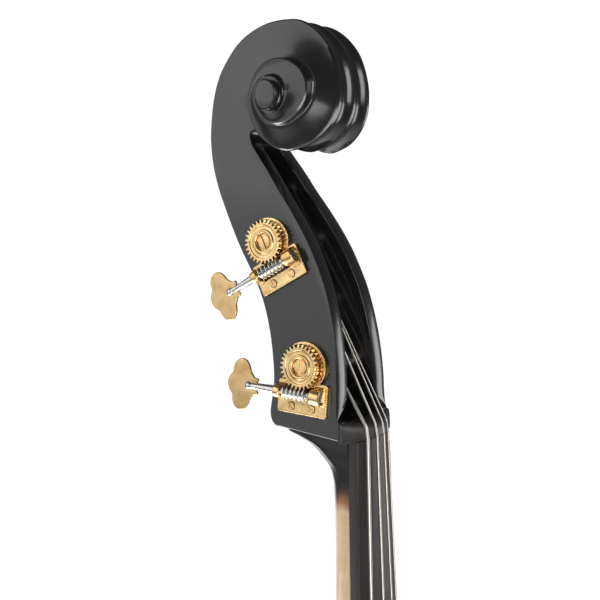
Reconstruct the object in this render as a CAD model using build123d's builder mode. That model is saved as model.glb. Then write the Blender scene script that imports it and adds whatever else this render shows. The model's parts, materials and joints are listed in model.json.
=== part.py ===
"""A three-quarter size double bass, built from its separate pieces.

Millimetres, +Z up, the strings and the top plate facing -Y, the E string's side at -X.
The origin is the middle of the rubber foot's resting face, on the endpin's axis.
The head and the neck are laid out in the neck's own frame: u forward of the plane
that the fingerboard is glued to, v along the neck from the nut towards the scroll.
"""
from build123d import *
from math import acos, atan2, cos, degrees, hypot, pi, radians, sin, tan
import os

os.makedirs("parts", exist_ok=True)

# ---- driving dimensions -------------------------------------------------------------
BODY_BOTTOM = 130.0          # height of the body's lower edge over the floor
BODY_LENGTH = 1110.0
RIB_HALF_DEPTH = 95.0        # ribs run from -95 to +95 along Y
PLATE = 7.0                  # thickness of the top and the back
RIB = 3.0
OVERHANG = 5.0               # how far the plates stand out past the ribs
LINING_WIDE = 6.0
GLUE_LINE = 0.1              # left between glued faces along the ribs
TOP_ARCH = 32.0
BACK_ARCH = 24.0
NECK_TILT = 9.5              # degrees that the neck leans back
NECK_STOP = 445.0            # nut to the body's upper edge
OVERSTAND = 46.0             # glue plane over the top plate's edge
STRING_LENGTH = 1050.0
BOARD_LENGTH = 860.0
BOARD_HALF_AT_NUT = 21.0
BOARD_HALF_AT_END = 43.0
BOARD_SIDE = 7.5             # height of the fingerboard's side faces
PEGBOX_HALF_AT_NUT = 32.4    # half width of the pegbox at the nut ...
PEGBOX_TAPER = 0.0543        # ... and what it loses for each mm towards the scroll
CHEEK = 12.5                 # thickness of the pegbox's side walls
POST_R = 6.0
BORE_GAP = 0.08              # radial clearance of a shaft in its bore
TEETH = 28
WORM_PITCH = 3.18
WORM_DROP = 17.75            # worm axis below the post's axis
WORM_HEIGHT = 6.0            # worm axis off the cheek
TUNER_PLATE = 2.5
ENDPIN_R = 5.0

# each tuner: post centre (u, v), turn of its plate in degrees, side (-1 is the E side)
TUNERS = {
    "e": ((-25.0, 49.0), -4.5, -1),
    "g": ((-37.5, 89.0), 8.0, 1),
    "a": ((-54.0, 130.2), 26.0, -1),
    "d": ((-71.5, 166.0), 18.0, 1),
}
# each string: radius, x at the nut, x at the bridge, x at the post
STRINGS = {
    "e": (1.35, -14.0, -43.0, -11.0),
    "a": (1.0, -4.7, -14.3, -5.0),
    "d": (0.8, 4.7, 14.3, 5.0),
    "g": (0.65, 14.0, 43.0, 11.0),
}

# ---- the neck's frame ---------------------------------------------------------------
TILT_COS = cos(radians(NECK_TILT))
TILT_SIN = sin(radians(NECK_TILT))
BODY_TOP = BODY_BOTTOM + BODY_LENGTH
TOP_EDGE = RIB_HALF_DEPTH + PLATE
NUT_ORIGIN = Vector(0, NECK_STOP * TILT_SIN - TOP_EDGE - OVERSTAND, BODY_TOP + NECK_STOP * TILT_COS)
U_AXIS = Vector(0, -TILT_COS, TILT_SIN)
V_AXIS = Vector(0, TILT_SIN, TILT_COS)


def neck_point(u, v, x=0.0):
    """The point of the instrument at u, v in the neck's frame."""
    return NUT_ORIGIN + U_AXIS * u + V_AXIS * v + Vector(x, 0, 0)


def across_neck(v, u=0.0):
    """A plane square to the neck at v: its x is the instrument's X, its y is u."""
    return Plane(origin=neck_point(u, v), x_dir=(1, 0, 0), z_dir=-V_AXIS)


# seen from the E side: x is u, y is v, z points to -X
side_plane = Plane(origin=NUT_ORIGIN, x_dir=U_AXIS, z_dir=(-1, 0, 0))


def pegbox_half(v):
    """Half of the pegbox's outer width at v."""
    return PEGBOX_HALF_AT_NUT - PEGBOX_TAPER * v


def finish(piece, label):
    """Label a finished piece and write it out."""
    piece.part.label = label
    export_step(piece.part, f"parts/{label}.step")


# ---- tuner seats --------------------------------------------------------------------
CHEEK_LEAN = degrees(atan2(PEGBOX_TAPER, 1))


def tuner_seat(centre, turn, side):
    """The plane on a cheek's outer face under a tuner: x forward, z outward."""
    lean = radians(CHEEK_LEAN)
    outward = V_AXIS * sin(lean) + Vector(side * cos(lean), 0, 0)
    along = V_AXIS * cos(lean) - Vector(side * sin(lean), 0, 0)
    forward = U_AXIS * cos(radians(turn)) + along * sin(radians(turn))
    origin = neck_point(centre[0], centre[1], side * pegbox_half(centre[1]))
    return Plane(origin=origin, x_dir=forward, z_dir=outward)


SEATS = {name: tuner_seat(*values) for name, values in TUNERS.items()}


def post_depth(name):
    """How far a string post reaches inward from the cheek's outer face."""
    centre = TUNERS[name][0]
    end_wall = 3.5
    return 2 * pegbox_half(centre[1]) - end_wall


# ---- one tuner, made on its seat at the origin --------------------------------------
PLATE_HALF_WIDTH = 19.0
PLATE_LOW = -31.5
PLATE_HIGH = -10.0
PLATE_DISC_R = 16.3
LEFT_BEARING_R = 4.6
RIGHT_BEARING_R = 5.4
SHAFT_R = 2.3
COLLAR_END_R = 2.9
SHAFT_END_R = 2.2
JOURNAL_R = 3.3
WORM_CORE_R = 2.4
WORM_TIP_R = 4.6
LEFT_BEARING = (-18.9, -14.2)
RIGHT_BEARING = (9.0, 17.6)
WHEEL_LOW = 3.5
WHEEL_THICK = 5.0
PITCH_R = TEETH * WORM_PITCH / (2 * pi)
WHEEL_TIP_R = 15.0
WHEEL_ROOT_R = 12.75
TOOTH_AT_PITCH = 1.2
THREAD_AT_PITCH = 1.35
FLANK = tan(radians(20))
SPIGOT_R = 4.0
SCREW_SPOTS = ((-8.0, -27.0), (8.0, -27.0))
SCREW_R = 1.5
worm_plane = Plane(origin=(0, -WORM_DROP, WORM_HEIGHT), x_dir=(0, 1, 0), z_dir=(1, 0, 0))

with BuildPart() as plate_master:
    with BuildSketch():
        with Locations((0, (PLATE_LOW + PLATE_HIGH) / 2)):
            RectangleRounded(2 * PLATE_HALF_WIDTH, PLATE_HIGH - PLATE_LOW, 1.2)
        Circle(PLATE_DISC_R)
        Circle(POST_R + BORE_GAP, mode=Mode.SUBTRACT)
        # the window that the worm dips into
        with Locations(((LEFT_BEARING[1] + RIGHT_BEARING[0]) / 2, -WORM_DROP)):
            Rectangle(RIGHT_BEARING[0] - LEFT_BEARING[1], 2 * WORM_TIP_R + 0.8, mode=Mode.SUBTRACT)
        with Locations(*SCREW_SPOTS):
            Circle(SCREW_R, mode=Mode.SUBTRACT)
    extrude(amount=TUNER_PLATE)

with BuildPart() as bearings_master:
    for (low, high), radius in ((LEFT_BEARING, LEFT_BEARING_R), (RIGHT_BEARING, RIGHT_BEARING_R)):
        with BuildSketch(worm_plane.offset(low)):
            Circle(radius)
        extrude(amount=high - low)
    # flat feet on the plate
    split(bisect_by=Plane.XY.offset(TUNER_PLATE), keep=Keep.TOP)
    with BuildSketch(worm_plane.offset(LEFT_BEARING[0])):
        Circle(SHAFT_R + BORE_GAP)
    extrude(amount=LEFT_BEARING[1] - LEFT_BEARING[0], mode=Mode.SUBTRACT)
    with BuildSketch(worm_plane.offset(RIGHT_BEARING[0])):
        Circle(JOURNAL_R + BORE_GAP)
    extrude(amount=RIGHT_BEARING[1] - RIGHT_BEARING[0], mode=Mode.SUBTRACT)
    # room for the wheel
    with BuildSketch(Plane.XY.offset(TUNER_PLATE)):
        Circle(WHEEL_TIP_R + 0.6)
    extrude(amount=2 * RIGHT_BEARING_R, mode=Mode.SUBTRACT)


def wheel_outline(turn):
    """The corner points of the worm wheel, turned about its axis by some degrees."""
    points = []
    for tooth in range(TEETH):
        # a gap, not a tooth, faces the worm
        middle = radians(turn - 90) + 2 * pi * (tooth + 0.5) / TEETH
        for radius, side in (
            (WHEEL_ROOT_R, -1), (WHEEL_TIP_R, -1), (WHEEL_TIP_R, 1), (WHEEL_ROOT_R, 1),
        ):
            half = TOOTH_AT_PITCH / 2 + (PITCH_R - radius) * FLANK
            angle = middle + side * half / radius
            points.append((radius * cos(angle), radius * sin(angle)))
    return points


WORM_PITCH_R = WORM_DROP - PITCH_R
LEAD_SLOPE = WORM_PITCH / (2 * pi * WORM_PITCH_R)
WHEEL_TWIST = degrees(WHEEL_THICK / 2 * LEAD_SLOPE / PITCH_R)
WHEEL_RECESS = 2.4

with BuildPart() as wheel_master:
    for height, turn in ((WHEEL_LOW, -WHEEL_TWIST), (WHEEL_LOW + WHEEL_THICK, WHEEL_TWIST)):
        with BuildSketch(Plane.XY.offset(height)):
            with BuildLine():
                Polyline(*wheel_outline(turn), close=True)
            make_face()
    loft(ruled=True)
    # a turned groove, and the recess for the screw's head
    with BuildSketch(Plane.XY.offset(WHEEL_LOW + WHEEL_THICK)):
        Circle(11.3)
        Circle(7.8, mode=Mode.SUBTRACT)
    extrude(amount=-0.8, mode=Mode.SUBTRACT)
    with BuildSketch(Plane.XY.offset(WHEEL_LOW + WHEEL_THICK)):
        Circle(5.8)
    extrude(amount=-WHEEL_RECESS, mode=Mode.SUBTRACT)
    with BuildSketch(Plane.XY.offset(WHEEL_LOW)):
        Circle(SPIGOT_R)
    extrude(amount=WHEEL_THICK, mode=Mode.SUBTRACT)

with BuildPart() as gear_screw_master:
    with BuildSketch(Plane.XY.offset(WHEEL_LOW + WHEEL_THICK - WHEEL_RECESS)):
        Circle(5.3)
    extrude(amount=1.8)
    fillet(gear_screw_master.faces().sort_by(Axis.Z)[-1].edges(), 0.5)
    # the slot for a screwdriver
    with BuildSketch(Plane.XY.offset(WHEEL_LOW + WHEEL_THICK - WHEEL_RECESS + 0.9)):
        Rectangle(1.2, 12)
    extrude(amount=2, mode=Mode.SUBTRACT)
    with BuildSketch(Plane.XY.offset(WHEEL_LOW + WHEEL_THICK - WHEEL_RECESS)):
        Circle(2.0)
    extrude(amount=-10)

# the worm's thread, on the Z axis, one tooth facing +X at z = 0
THREAD_START = -4 * WORM_PITCH
THREAD_LENGTH = 6 * WORM_PITCH
THREAD_ROOT_R = WORM_CORE_R - 0.2


def thread_half(radius):
    """Half of the thread's axial thickness at a radius."""
    return THREAD_AT_PITCH / 2 + (WORM_PITCH_R - radius) * FLANK


thread_plane = Plane(origin=(0, 0, THREAD_START), x_dir=(1, 0, 0), z_dir=(0, -1, 0))

with BuildPart() as thread_master:
    with BuildLine():
        Helix(WORM_PITCH, THREAD_LENGTH, THREAD_ROOT_R, center=(0, 0, THREAD_START))
    with BuildSketch(thread_plane):
        with BuildLine():
            Polyline(
                (THREAD_ROOT_R, -thread_half(THREAD_ROOT_R)),
                (WORM_TIP_R, -thread_half(WORM_TIP_R)),
                (WORM_TIP_R, thread_half(WORM_TIP_R)),
                (THREAD_ROOT_R, thread_half(THREAD_ROOT_R)),
                close=True,
            )
        make_face()
    sweep(is_frenet=True)

# key: a clover in the plane of the shaft, on the key side (-x)
KEY_THICK = 1.8
KEY_LOBE_X = -47.0
KEY_LOBE_Y = 10.2
KEY_LOBE_R = 7.2
KEY_END_X = -50.5
KEY_END_R = 7.8
KEY_ROOT_X = -34.5
FERRULE_X = -40.5
FERRULE_R = 2.8
key_plane = Plane(origin=(0, -WORM_DROP, WORM_HEIGHT))

with BuildPart() as key_master:
    with BuildSketch(key_plane.offset(-KEY_THICK / 2)):
        with Locations((KEY_LOBE_X, KEY_LOBE_Y), (KEY_LOBE_X, -KEY_LOBE_Y)):
            Circle(KEY_LOBE_R)
        with Locations((KEY_END_X, 0)):
            Circle(KEY_END_R)
        with BuildLine():
            Polyline(
                (KEY_ROOT_X, -4.2), (KEY_LOBE_X + 6.5, -6.5), (KEY_LOBE_X - 1, -KEY_LOBE_Y),
                (KEY_LOBE_X - 1, KEY_LOBE_Y), (KEY_LOBE_X + 6.5, 6.5), (KEY_ROOT_X, 4.2), close=True,
            )
        make_face()
    extrude(amount=KEY_THICK)
    fillet(key_master.edges().filter_by(Axis.Z).sort_by(Axis.X)[-2:], 1.5)

with BuildPart() as shaft_master:
    with BuildSketch(Plane.XZ):
        with BuildLine():
            Polyline(
                (0, RIGHT_BEARING[1] - 0.5), (JOURNAL_R, RIGHT_BEARING[1] - 0.5),
                (JOURNAL_R, RIGHT_BEARING[0] + 0.3), (WORM_CORE_R, RIGHT_BEARING[0] + 0.3),
                (WORM_CORE_R, LEFT_BEARING[1] + 0.2), (SHAFT_R, LEFT_BEARING[1] + 0.2),
                (SHAFT_R, LEFT_BEARING[0] - 0.4), (COLLAR_END_R, LEFT_BEARING[0] - 0.4),
                (SHAFT_END_R, FERRULE_X + 1.5), (0, FERRULE_X + 1.5), close=True,
            )
        make_face()
    revolve(axis=Axis.Z)
    add(thread_master.part)
    with Locations((0, 0, FERRULE_X)):
        Sphere(FERRULE_R)
    # the slot that the key is brazed into
    with BuildSketch(Plane.XY.offset(KEY_ROOT_X)):
        Rectangle(4 * FERRULE_R, KEY_THICK)
    extrude(amount=-20, mode=Mode.SUBTRACT)

TUNER_PIECES = {
    "tuner_plate": (plate_master.part, Plane.XY),
    "worm_bearings": (bearings_master.part, Plane.XY),
    "worm_wheel": (wheel_master.part, Plane.XY),
    "gear_screw": (gear_screw_master.part, Plane.XY),
    "worm_shaft": (shaft_master.part, worm_plane),
    "key": (key_master.part, Plane.XY),
}

for name, (centre, turn, side) in TUNERS.items():
    seat = SEATS[name].location
    for label, (master, own_plane) in TUNER_PIECES.items():
        placed = master.moved(own_plane.location)
        if side > 0:
            # the far cheek's tuner is the near one's mirror image
            placed = mirror(placed, about=Plane.XZ)
        with BuildPart() as tuner_piece:
            add(placed.moved(seat))
        finish(tuner_piece, f"{label}_{name}")
    with BuildPart() as string_post:
        with BuildSketch(SEATS[name].offset(WHEEL_LOW)):
            Circle(POST_R)
        extrude(amount=-WHEEL_LOW - post_depth(name))
        with BuildSketch(SEATS[name].offset(WHEEL_LOW)):
            Circle(SPIGOT_R)
        extrude(amount=WHEEL_THICK - WHEEL_RECESS)
        with BuildSketch(SEATS[name].offset(WHEEL_LOW + WHEEL_THICK)):
            Circle(2.0)
        extrude(amount=-WHEEL_RECESS - 10, mode=Mode.SUBTRACT)
        # the hole that the string's end goes through
        hole_depth = side * STRINGS[name][3] - pegbox_half(centre[1])
        hole_origin = SEATS[name].from_local_coords((0, 0, hole_depth))
        hole_plane = Plane(origin=hole_origin, x_dir=(1, 0, 0), z_dir=U_AXIS)
        with BuildSketch(hole_plane):
            Circle(1.7)
        extrude(amount=2 * POST_R, both=True, mode=Mode.SUBTRACT)
    finish(string_post, f"string_post_{name}")

with BuildPart() as plate_screws:
    for name in TUNERS:
        side = TUNERS[name][2]
        for spot_x, spot_y in SCREW_SPOTS:
            spot = (spot_x, -side * spot_y)
            with BuildSketch(SEATS[name].offset(TUNER_PLATE)):
                with Locations(spot):
                    Circle(2.9)
            extrude(amount=1.3)
            with BuildSketch(SEATS[name].offset(TUNER_PLATE)):
                with Locations(spot):
                    Circle(SCREW_R - 0.02)
            extrude(amount=-12)
finish(plate_screws, "plate_screws")

# ---- body outline -------------------------------------------------------------------
LOWER_CORNER = (276.0, 440.0)
UPPER_CORNER = (226.0, 750.0)
NECK_FLAT = 32.0


def outline_plane(y, facing=-1):
    """A plane parallel to the plates at y, with z up from the body's lower edge."""
    x_dir = (-facing, 0, 0)
    return Plane(origin=(0, y, BODY_BOTTOM), x_dir=x_dir, z_dir=(0, facing, 0))


def half_outline():
    """One side of the body's outline, from the endpin to the neck."""
    Line((0, 0), (30, 0))
    Spline((30, 0), (190, 32), (334, 225), (306, 370), LOWER_CORNER, tangents=((1, 0), (-0.3, 1)))
    Line(LOWER_CORNER, (270, 452))
    Spline((270, 452), (204, 510), (186, 595), (194, 680), (221, 739), tangents=((-1, 0.15), (1, 0.75)))
    Line((221, 739), UPPER_CORNER)
    Spline(
        UPPER_CORNER, (256, 880), (214, 1000), (110, 1074), (NECK_FLAT, BODY_LENGTH),
        tangents=((0.3, 1), (-0.6, 1)),
    )
    Line((NECK_FLAT, BODY_LENGTH), (0, BODY_LENGTH))


with BuildSketch() as body_face:
    with BuildLine():
        half_outline()
        mirror(about=Plane.YZ)
    make_face()


def inset_outline(inset):
    """The body's outline drawn in by an inset, as lines and splines."""
    inner = Wire(body_face.sketch.edges()).offset_2d(-inset, kind=Kind.INTERSECTION)
    with BuildSketch() as face:
        with BuildLine():
            for edge in inner.edges():
                if edge.geom_type == GeomType.LINE:
                    Line(edge @ 0, edge @ 1)
                else:
                    spans = max(3, round(edge.length / 25))
                    Spline(*(edge @ (step / spans) for step in range(spans + 1)))
        make_face()
    return face.sketch


rib_face = inset_outline(OVERHANG)
inside_face = inset_outline(OVERHANG + RIB)
lining_face = inset_outline(OVERHANG + RIB + LINING_WIDE)


# ---- arching ------------------------------------------------------------------------
# flat margin of the arch: half widths at heights over the lower edge
ARCH_HALVES = ((0, 215), (225, 305), (430, 225), (595, 160), (750, 190), (885, 232), (1110, 120))


def arch_half(height):
    """Half width of the arched area at a height, eased from one station to the next."""
    for (low, low_half), (high, high_half) in zip(ARCH_HALVES, ARCH_HALVES[1:]):
        if height <= high:
            break
    part_way = min(1.0, max(0.0, (height - low) / (high - low)))
    eased = (1 - cos(pi * part_way)) / 2
    return low_half + (high_half - low_half) * eased


def arch(x, height):
    """Rise of the arching, from 0 at the edge to 1 in the middle."""
    along = min(1.0, max(0.0, (height - 16) / (BODY_LENGTH - 32)))
    across = min(1.0, abs(x) / arch_half(height))
    return sin(pi / 2 * sin(pi * along)) ** 2 * cos(pi / 2 * across) ** 2


def arched_block(edge_y, rise, depth):
    """The solid behind an arched surface that stands at edge_y along its margin."""
    toward = -1 if depth > 0 else 1
    rows = []
    for row in range(39):
        height = -20 + row * (BODY_LENGTH + 40) / 38
        columns = [-360 + column * 20 for column in range(37)]
        rows.append([(x, edge_y + toward * rise * arch(x, height), BODY_BOTTOM + height) for x in columns])
    surface = Face.make_surface_from_array_of_points(rows, tol=0.05)
    return Solid.extrude(surface, Vector(0, depth, 0))


ACROSS_BODY = 300.0
top_shell = arched_block(-TOP_EDGE, TOP_ARCH, PLATE)
back_shell = arched_block(TOP_EDGE, BACK_ARCH, -PLATE)
behind_front = arched_block(-TOP_EDGE, TOP_ARCH, ACROSS_BODY)
behind_top = behind_front.moved(Location((0, PLATE, 0)))
before_back = arched_block(RIB_HALF_DEPTH, BACK_ARCH, -ACROSS_BODY)

# ---- top plate, with its sound holes ------------------------------------------------
BRIDGE_Z = BODY_TOP + NECK_STOP * TILT_COS - STRING_LENGTH * TILT_COS
BRIDGE_ABOVE_EDGE = BRIDGE_Z - BODY_BOTTOM
SADDLE_HALF = 30.0
SADDLE_TALL = 12.0
# the sound hole's slot about the bridge's place: its outer side going down, its inner side going up
HOLE_OUTER = ((84, 86), (98, 98), (112, 80), (120, -2), (124, -70), (134, -84))
HOLE_INNER = ((134, -98), (118, -102), (107, -82), (102, -2), (98, 72), (84, 76))


def sound_hole(side):
    """The f-shaped hole: two eyes joined by a curved slot that narrows to its ends."""
    with BuildSketch() as hole:
        with Locations((side * 78, 82)):
            Circle(10)
        with Locations((side * 142, -92)):
            Circle(13)
        with BuildLine():
            outer = [(side * x, z) for x, z in HOLE_OUTER]
            inner = [(side * x, z) for x, z in HOLE_INNER]
            Spline(*outer)
            Line(outer[-1], inner[0])
            Spline(*inner)
            Line(inner[-1], outer[0])
        make_face()
    return hole.sketch


with BuildPart() as top_plate:
    with BuildSketch(outline_plane(-RIB_HALF_DEPTH + 5)):
        add(body_face.sketch)
    extrude(amount=PLATE + TOP_ARCH + 10)
    add(top_shell, mode=Mode.INTERSECT)
    with BuildSketch(outline_plane(-RIB_HALF_DEPTH + 6)):
        with Locations((0, BRIDGE_ABOVE_EDGE)):
            add(sound_hole(-1))
            add(sound_hole(1))
    extrude(amount=PLATE + TOP_ARCH + 10, mode=Mode.SUBTRACT)
    # the saddle's notch
    with BuildSketch(outline_plane(-RIB_HALF_DEPTH + 6)):
        Rectangle(2 * SADDLE_HALF, 2 * SADDLE_TALL)
    extrude(amount=PLATE + 15, mode=Mode.SUBTRACT)
finish(top_plate, "top_plate")

BUTTON_RISE = 32.0
with BuildPart() as back_plate:
    with BuildSketch(outline_plane(RIB_HALF_DEPTH - 5, 1)):
        add(body_face.sketch)
    extrude(amount=PLATE + BACK_ARCH + 10)
    add(back_shell, mode=Mode.INTERSECT)
    # the button that backs the neck's heel
    with BuildSketch(outline_plane(RIB_HALF_DEPTH, 1)):
        with Locations((0, BODY_LENGTH + 2)):
            SlotCenterToCenter(2, 2 * (BUTTON_RISE - 4))
        with Locations((0, BODY_LENGTH - 30)):
            Rectangle(2 * BUTTON_RISE, 58, mode=Mode.SUBTRACT)
    extrude(amount=PLATE)
finish(back_plate, "back_plate")

# ---- ribs, in six bends, and what stiffens them -------------------------------------
RIB_SPANS = {
    "lower": (0.0, LOWER_CORNER[1] + 6),
    "middle": (LOWER_CORNER[1] + 6, UPPER_CORNER[1] - 5),
    "upper": (UPPER_CORNER[1] - 5, BODY_LENGTH),
}
COLLAR_R = 13.0
collar_plane = Plane.XY.offset(BODY_BOTTOM)

for bout, (low, high) in RIB_SPANS.items():
    for hand, side in (("bass_side", -1), ("treble_side", 1)):
        with BuildPart() as rib:
            with BuildSketch(outline_plane(RIB_HALF_DEPTH - GLUE_LINE)):
                add(rib_face)
                add(inside_face, mode=Mode.SUBTRACT)
                with Locations((side * 200, (low + high) / 2)):
                    Rectangle(400, high - low, mode=Mode.INTERSECT)
            extrude(amount=2 * (RIB_HALF_DEPTH - GLUE_LINE))
            if bout == "lower":
                with BuildSketch(collar_plane):
                    Circle(COLLAR_R)
                extrude(amount=30, mode=Mode.SUBTRACT)
        finish(rib, f"{bout}_rib_{hand}")

BLOCK_TALL = 62.0
with BuildPart() as neck_block:
    with BuildSketch(outline_plane(RIB_HALF_DEPTH - GLUE_LINE)):
        with Locations((0, BODY_LENGTH - BLOCK_TALL / 2)):
            Rectangle(150, BLOCK_TALL)
        add(inside_face, mode=Mode.INTERSECT)
    extrude(amount=2 * (RIB_HALF_DEPTH - GLUE_LINE))
finish(neck_block, "neck_block")

with BuildPart() as end_block:
    with BuildSketch(outline_plane(RIB_HALF_DEPTH - GLUE_LINE)):
        with Locations((0, BLOCK_TALL / 2)):
            Rectangle(150, BLOCK_TALL)
        add(inside_face, mode=Mode.INTERSECT)
    extrude(amount=2 * (RIB_HALF_DEPTH - GLUE_LINE))
    with BuildSketch(collar_plane):
        Circle(COLLAR_R)
    extrude(amount=100, mode=Mode.SUBTRACT)
finish(end_block, "end_block")

CORNER_BLOCK_R = 46.0
corner_spots = [(side * x, height) for side in (-1, 1) for x, height in ((258, 446), (212, 745))]
with BuildPart() as corner_blocks:
    with BuildSketch(outline_plane(RIB_HALF_DEPTH - GLUE_LINE)):
        with Locations(*corner_spots):
            Circle(CORNER_BLOCK_R)
        add(inside_face, mode=Mode.INTERSECT)
    extrude(amount=2 * (RIB_HALF_DEPTH - GLUE_LINE))
finish(corner_blocks, "corner_blocks")

LINING_TALL = 18.0
with BuildPart() as linings:
    for start in (RIB_HALF_DEPTH - GLUE_LINE, -RIB_HALF_DEPTH + GLUE_LINE + LINING_TALL):
        with BuildSketch(outline_plane(start)):
            add(inside_face)
            add(lining_face, mode=Mode.SUBTRACT)
            with Locations((0, 0), (0, BODY_LENGTH)):
                Rectangle(150, 2 * BLOCK_TALL, mode=Mode.SUBTRACT)
            with Locations(*corner_spots):
                Circle(CORNER_BLOCK_R, mode=Mode.SUBTRACT)
        extrude(amount=LINING_TALL)
finish(linings, "linings")

BAR_X = -52.0
with BuildPart() as bass_bar:
    with BuildSketch(outline_plane(-72)):
        with Locations((BAR_X, 590)):
            Rectangle(22, 700)
    extrude(amount=80)
    add(behind_top, mode=Mode.INTERSECT)
finish(bass_bar, "bass_bar")

POST_SPOT = (46.0, BRIDGE_ABOVE_EDGE - 30)
with BuildPart() as sound_post:
    with BuildSketch(outline_plane(RIB_HALF_DEPTH + BACK_ARCH + 5)):
        with Locations(POST_SPOT):
            Circle(9)
    extrude(amount=2 * RIB_HALF_DEPTH + TOP_ARCH + BACK_ARCH + 10)
    add(behind_top, mode=Mode.INTERSECT)
    add(before_back, mode=Mode.INTERSECT)
finish(sound_post, "sound_post")

# ---- neck, pegbox and scroll --------------------------------------------------------
HEAD_CLEAR = 34.0            # more than the head's half width
SCROLL_CENTRE = (-39.0, 229.0)
# the scroll's turns as closed outlines (u, v), with the half width of each step
SCROLL_STEPS = (
    (18.5, (
        (-105, 214), (-98, 245), (-80, 266), (-54, 275.6), (-30, 273),
        (-7, 254.7), (0, 226), (-9, 204), (-37.6, 190.7), (-80, 192),
    )),
    (33.0, (
        (-64, 222), (-58, 240), (-42, 250), (-27, 247),
        (-15, 234), (-16, 219), (-31, 207.5), (-50, 208),
    )),
    (40.0, (
        (-53, 224), (-50, 234), (-41, 239), (-31, 235),
        (-27, 226), (-32, 217), (-42, 214), (-50, 217),
    )),
)
# the cheeks' front edge, from the scroll down to the nut, and the pegbox's back going up
CHEEK_FRONT = (
    (-95, 205), (-61.5, 185), (-42.5, 158), (-24.9, 131), (-12.9, 105), (-5.6, 80), (-1.9, 54), (-1.2, 20),
)
PEGBOX_BACK = (
    (-54.6, 18), (-51.3, 42), (-53.8, 67), (-62.8, 96), (-78.8, 125), (-93.8, 156), (-103.5, 184), (-106, 208),
)
EYE_R = 9.0
EYE_HALF = 46.0
CAVITY_FLOOR = (
    (-40, 24), (-40, 44), (-43.5, 70), (-52, 97), (-66, 123), (-80, 149), (-89, 172), (-88, 186),
)

# neck stations: distance v, half width, depth behind the glue plane, depth of the rounding
NECK_STATIONS = (
    (9.0, 21.4, 52.2, 12.0), (2.2, 21.4, 50.4, 12.5), (0.6, 21.3, 43.3, 13.0), (-3.3, 21.3, 35.5, 13.5),
    (-6.9, 21.3, 29.5, 14.0), (-12.8, 21.2, 24.2, 14.5), (-18.9, 21.2, 20.4, 14.5), (-25.0, 21.1, 18.4, 14.3),
    (-31.6, 21.1, 17.3, 14.0), (-51.0, 21.4, 16.7, 13.8), (-103.0, 22.6, 17.6, 14.3), (-200.0, 25.2, 20.5, 16.5),
    (-330.0, 29.0, 25.0, 19.0), (-450.0, 31.6, 30.0, 20.0),
)
HEEL_STEP = 0.4              # the heel's front lies this far behind the glue plane
# heel stations: height, back face y, half width at the back
HEEL_STATIONS = (
    (1400.0, -98.0, 29.0), (1360.0, -82.0, 29.0), (1330.0, -48.0, 29.0), (1305.0, 8.0, 28.5),
    (1285.0, 62.0, 28.0), (1268.0, 92.0, 28.0), (1235.0, 95.0, 28.0),
)


def glue_y(z):
    """Y of the glue plane at a height."""
    return NUT_ORIGIN.Y + (z - NUT_ORIGIN.Z) * TILT_SIN / TILT_COS


def neck_section(half, depth, rounding):
    """A neck's section: flat under the fingerboard, rounded behind."""
    with BuildSketch() as section:
        with BuildLine():
            Line((-half, rounding - depth), (-half, 0))
            Line((-half, 0), (half, 0))
            Line((half, 0), (half, rounding - depth))
            EllipticalCenterArc((0, rounding - depth), half, rounding, start_angle=180, arc_size=180)
        make_face()
    return section.sketch


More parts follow.
